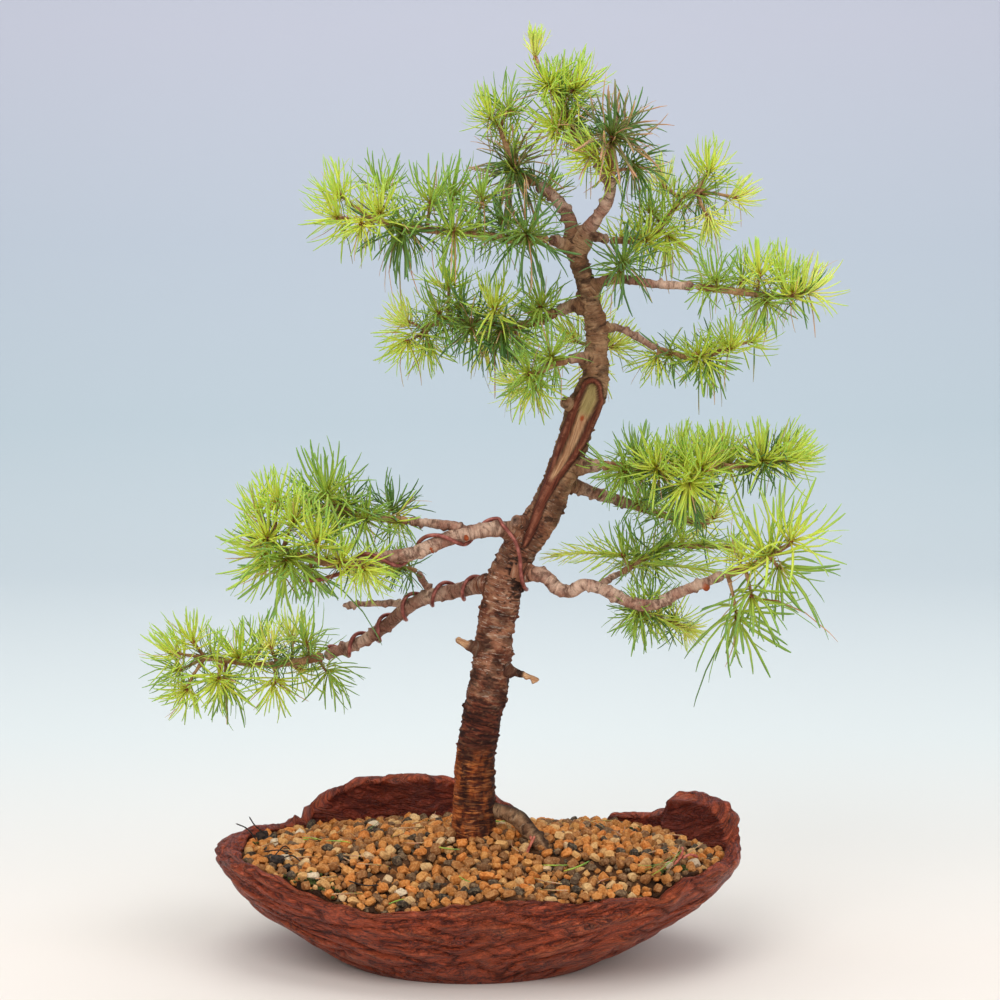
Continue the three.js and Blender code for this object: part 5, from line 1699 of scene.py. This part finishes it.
def build_twigs(spray, seed):
    """The leafy branch's core, a twig and a bud for each tuft, and the stems of its shoots."""
    rng = random.Random(SEEDS["twigs"] + seed)
    core = Course(spray["core"], 0.9)
    runs = [(core, CORE_SIDES, 0.35, 0.0, 0.0)]
    for x, y, z, _, _, turn in spray["tufts"]:
        spot = Vector((x, y, z))
        foot, outward = tuft_axis(core, spot, turn)
        if (spot - foot).length > 1.5:
            elbow = foot.lerp(spot, 0.55) + random_vector(rng) * 0.9
            twig = Course([(*foot, 1.3), (*elbow, 0.85), (*spot, 0.9)], 1.2)
            runs.append((twig, TWIG_SIDES, 0.22, 0.0, 0.0))
        bud = [(*(spot - outward * 3), 0.9), (*(spot - outward * 1.2), 1.6),
               (*(spot + outward * 0.8), 0.9)]
        runs.append((Course(bud, 0.7), TWIG_SIDES, 0.0, 1.0, 0.0))
    for start, middle, end, *_ in spray.get("shoots", ()):
        shoot = Course([(*start, 1.1), (*middle, 0.9), (*end, 0.5)], 1.2)
        runs.append((shoot, TWIG_SIDES, 0.15, 0.0, 1.0))
    bm = new_sheet("bud", "fresh")
    for number, (course, sides, rough, bud, fresh) in enumerate(runs):
        tube(bm, course, sides, twig_skin(course, rough, seed, bud, fresh), 20.0 * number)
    return mesh_of(bm)


# Litter on the soil


def build_fallen_needles(shapes):
    """Fallen needles that lie on the gravel, and blades of grass."""
    rng = random.Random(SEEDS["fallen_needles"])
    placed = []
    while len(placed) < FALLEN_NEEDLES:
        angle = rng.uniform(0, math.tau)
        share = rng.uniform(0.55, 0.86) if rng.random() < 0.75 else rng.uniform(0.15, 0.6)
        x = RIM_SHIFT + share * RIM_HALF_WIDTH * math.cos(angle)
        y = share * RIM_HALF_DEPTH * math.sin(angle)
        if room_to_wall(x, y) < 10:
            continue
        spot = Vector((x, y, soil_level(x, y) + 4))
        turn = rng.uniform(0, math.tau)
        heading = Vector((math.cos(turn), math.sin(turn), rng.uniform(-0.08, 0.16)))
        aside = Vector((-heading.y, heading.x, 0))
        tone = rng.choice((0.03, 0.05, 0.05, 0.06, 0.45))
        shape = rng.choice((1, 2, 3))
        placed.append((shape, pointing(heading, aside, spot, rng.uniform(12, 20)), tone))
    for blade in GRASS:
        start, end = (Vector((x, y, soil_level(x, y) + 6)) for x, y in blade)
        run = end - start + Vector((0, 0, 2))
        laid = pointing(run, UPWARD, start, run.length)
        placed.append((len(BENDS) + 1, laid, rng.choice((0.12, 0.3, 0.05, 0.4))))
    return copies(shapes, placed, "age", mapped=True)


def build_moss():
    """Small soft lumps in patches near the rim."""
    rng = random.Random(SEEDS["moss"])
    placed = []
    for x, y, wide in MOSS:
        for _ in range(MOSS_LUMPS):
            px, py = x + rng.gauss(0, wide), y + rng.gauss(0, 0.55 * wide)
            if room_to_wall(px, py) < 1:
                continue
            placed.append(grain(rng, px, py, rng.uniform(1, 3), spin(rng), rng.uniform(0.6, 1.5)))
    return copies(pebble_shapes(rng), placed, "grain")


def build_charcoal():
    """Sharp black lumps."""
    rng = random.Random(SEEDS["charcoal"])
    placed = [grain(rng, x, y, 0.9 * size, spin(rng), size) for x, y, size in CHARCOAL]
    mesh = copies(pebble_shapes(rng), placed, "grain")
    mesh.set_sharp_from_angle(angle=COAL_EDGES)
    return mesh


def build_rootlets(runs, thick):
    """Thin roots that rise from the gravel."""
    bm = new_sheet("bud", "fresh")
    for number, run in enumerate(runs):
        path = [(x, y, soil_level(x, y) + lift, thick) for x, y, lift in run]
        course = Course(path, 1.2)
        tube(bm, course, TWIG_SIDES, twig_skin(course, 0.1, number, 0.7), 30.0 * number)
    return mesh_of(bm)


# Operators


class LARCH_OT_pot(Operator):
    """Model the crescent pot with its folds and creases"""

    bl_idname = "larch.pot"
    bl_label = "Pot"

    def execute(self, context):
        settings = context.scene.larch_pot
        drill(piece("crescent_pot", build_pot(settings), clay_finish(settings), "pot", "pot"))
        return {"FINISHED"}


class LARCH_OT_soil(Operator):
    """Finish the soil and cover it with gravel"""

    bl_idname = "larch.soil"
    bl_label = "Soil and gravel"

    def execute(self, context):
        dress("substrate", soil_finish())
        gravel = build_gravel(context.scene.larch_gravel)
        piece("gravel", gravel, grain_finish(), "substrate")
        return {"FINISHED"}


class LARCH_OT_litter(Operator):
    """Strew dry needles, moss and rootlets on the gravel"""

    bl_idname = "larch.litter"
    bl_label = "Litter"

    def execute(self, context):
        shapes = needle_shapes(context.scene.larch_needles.width)
        piece("fallen_needles", build_fallen_needles(shapes), needle_finish(), "needles")
        piece("moss", build_moss(), moss_finish(), "needles")
        piece("charcoal", build_charcoal(), charcoal_finish(), "substrate")
        piece("rootlets", build_rootlets(ROOTLETS, 0.4), charcoal_finish(), "wood")
        piece("red_root", build_rootlets(RED_ROOT, 0.8), clay_root_finish(), "wood")
        return {"FINISHED"}


class LARCH_OT_drain(Operator):
    """Finish the plastic meshes over the drain holes"""

    bl_idname = "larch.drain"
    bl_label = "Drain meshes"

    def execute(self, context):
        finish = plastic_finish()
        for side in ("left", "right"):
            dress(f"drain_mesh_{side}", finish)
        return {"FINISHED"}


class LARCH_OT_wood(Operator):
    """Model the trunk, its scar and all bare branches"""

    bl_idname = "larch.wood"
    bl_label = "Trunk and branches"

    def execute(self, context):
        wood = build_wood(context.scene.larch_wood)
        piece("trunk_and_branches", wood, bark_finish(), "wood", "wood")
        return {"FINISHED"}


class LARCH_OT_wire(Operator):
    """Model the training wire"""

    bl_idname = "larch.wire"
    bl_label = "Training wire"

    def execute(self, context):
        piece("wound_wire", build_wire(), wire_finish(), "wire", "training_wire")
        return {"FINISHED"}


class LARCH_OT_sprays(Operator):
    """Model the twigs and needles of every leafy branch"""

    bl_idname = "larch.sprays"
    bl_label = "Twigs and needles"

    def execute(self, context):
        settings = context.scene.larch_needles
        shapes = needle_shapes(settings.width)
        green, brown = needle_finish(), twig_finish()
        posts = trunk_posts(Course(TRUNK, 1.15))
        for seed, (name, spray) in enumerate(SPRAYS.items()):
            node = f"spray_{name}"
            needles = build_needles(settings, spray, seed, shapes, posts)
            piece(f"needles_{name}", needles, green, "needles", node)
            piece(f"twigs_{name}", build_twigs(spray, seed), brown, "wood", node)
        return {"FINISHED"}


class LARCH_OT_stage(Operator):
    """Set up the pale floor, the soft light and the camera"""

    bl_idname = "larch.stage"
    bl_label = "Stage"

    def execute(self, context):
        scene = context.scene
        scene.view_settings.view_transform = "Standard"
        build_floor()
        build_lights(scene)
        settings = scene.larch_stage
        camera = bpy.data.cameras.new("camera")
        camera.lens = settings.lens
        camera.sensor_width = SENSOR_WIDTH
        camera.dof.use_dof = False
        eye = in_scene("camera", camera)
        eye.location = settings.place
        eye.rotation_euler = (math.pi / 2 - settings.pitch, 0, 0)
        scene.camera = eye
        return {"FINISHED"}


def build_floor():
    """A plain pale floor that curves up into a backdrop."""
    bm = bmesh.new()
    profile = [(FLOOR_FRONT, 0.0), (FLOOR_BACK, 0.0)]
    for i in range(1, BEND_STEPS + 1):
        angle = math.pi / 2 * i / BEND_STEPS
        profile.append((FLOOR_BACK + BACKDROP_BEND * math.sin(angle),
                        BACKDROP_BEND * (1 - math.cos(angle))))
    profile.append((FLOOR_BACK + BACKDROP_BEND, BACKDROP_HEIGHT))
    line = [bm.verts.new((-FLOOR_WIDTH / 2, y, z)) for y, z in profile]
    edges = [bm.edges.new(pair) for pair in zip(line, line[1:])]
    made = bmesh.ops.extrude_edge_only(bm, edges=edges)["geom"]
    far = [part for part in made if isinstance(part, bmesh.types.BMVert)]
    bmesh.ops.translate(bm, vec=(FLOOR_WIDTH, 0, 0), verts=far)
    backdrop = mesh_of(bm)
    paper = Finish("pale_backdrop", {"Roughness": 0.9, "Specular IOR Level": 0.1})
    deep = paper.node("ShaderNodeSeparateXYZ", {}, {0: paper.place()}, "Y")
    high = paper.node("ShaderNodeSeparateXYZ", {}, {0: paper.place()}, "Z")
    paper.colour(paper.ramp((deep * 0.2 + high) / 1.1, [
        (0.0, (231, 223, 215)), (0.1, (216, 222, 221)), (0.24, (202, 212, 216)),
        (0.42, (189, 202, 209)), (0.66, (188, 197, 208)), (0.95, (195, 197, 210)),
    ]))
    backdrop.materials.append(paper.material)
    backdrop.shade_smooth()
    in_scene("backdrop", backdrop)


def build_lights(scene):
    """Square soft boxes, and a little even light from all round."""
    for name, (place, aim, size, power) in LIGHTS.items():
        light = bpy.data.lights.new(name, "AREA")
        light.shape = "SQUARE"
        light.size = size
        light.energy = power
        lamp = in_scene(name, light)
        lamp.location = place
        lamp.rotation_euler = (Vector(aim) - Vector(place)).to_track_quat("-Z", "Y").to_euler()
    world = bpy.data.worlds.new("studio")
    world.use_nodes = True
    sky = world.node_tree.nodes["Background"]
    sky.inputs["Color"].default_value = (*srgb(236, 238, 240), 1)
    sky.inputs["Strength"].default_value = ROOM_LIGHT
    scene.world = world


class LARCH_PT_panel(Panel):
    """Lists the tree's pieces and their settings"""

    bl_idname = "LARCH_PT_panel"
    bl_label = "Larch"
    bl_space_type = "VIEW_3D"
    bl_region_type = "UI"
    bl_category = "Larch"

    def draw(self, context):
        for operator in OPERATORS:
            self.layout.operator(operator.bl_idname)
        for name, settings in SETTINGS.items():
            box = self.layout.box()
            for prop in settings.__annotations__:
                box.prop(getattr(context.scene, name), prop)


SETTINGS = {
    "larch_pot": PotSettings,
    "larch_gravel": GravelSettings,
    "larch_wood": WoodSettings,
    "larch_needles": NeedleSettings,
    "larch_stage": StageSettings,
}
OPERATORS = (LARCH_OT_stage, LARCH_OT_pot, LARCH_OT_soil, LARCH_OT_drain, LARCH_OT_wood,
             LARCH_OT_wire, LARCH_OT_sprays, LARCH_OT_litter)


def register():
    for cls in (*SETTINGS.values(), *OPERATORS, LARCH_PT_panel):
        bpy.utils.register_class(cls)
    for name, settings in SETTINGS.items():
        setattr(bpy.types.Scene, name, PointerProperty(type=settings))


def unregister():
    for name in SETTINGS:
        delattr(bpy.types.Scene, name)
    for cls in (LARCH_PT_panel, *reversed(OPERATORS), *SETTINGS.values()):
        bpy.utils.unregister_class(cls)


def main():
    register()
    for operator in OPERATORS:
        group, name = operator.bl_idname.split(".")
        getattr(getattr(bpy.ops, group), name)()


if __name__ == "__main__":
    main()
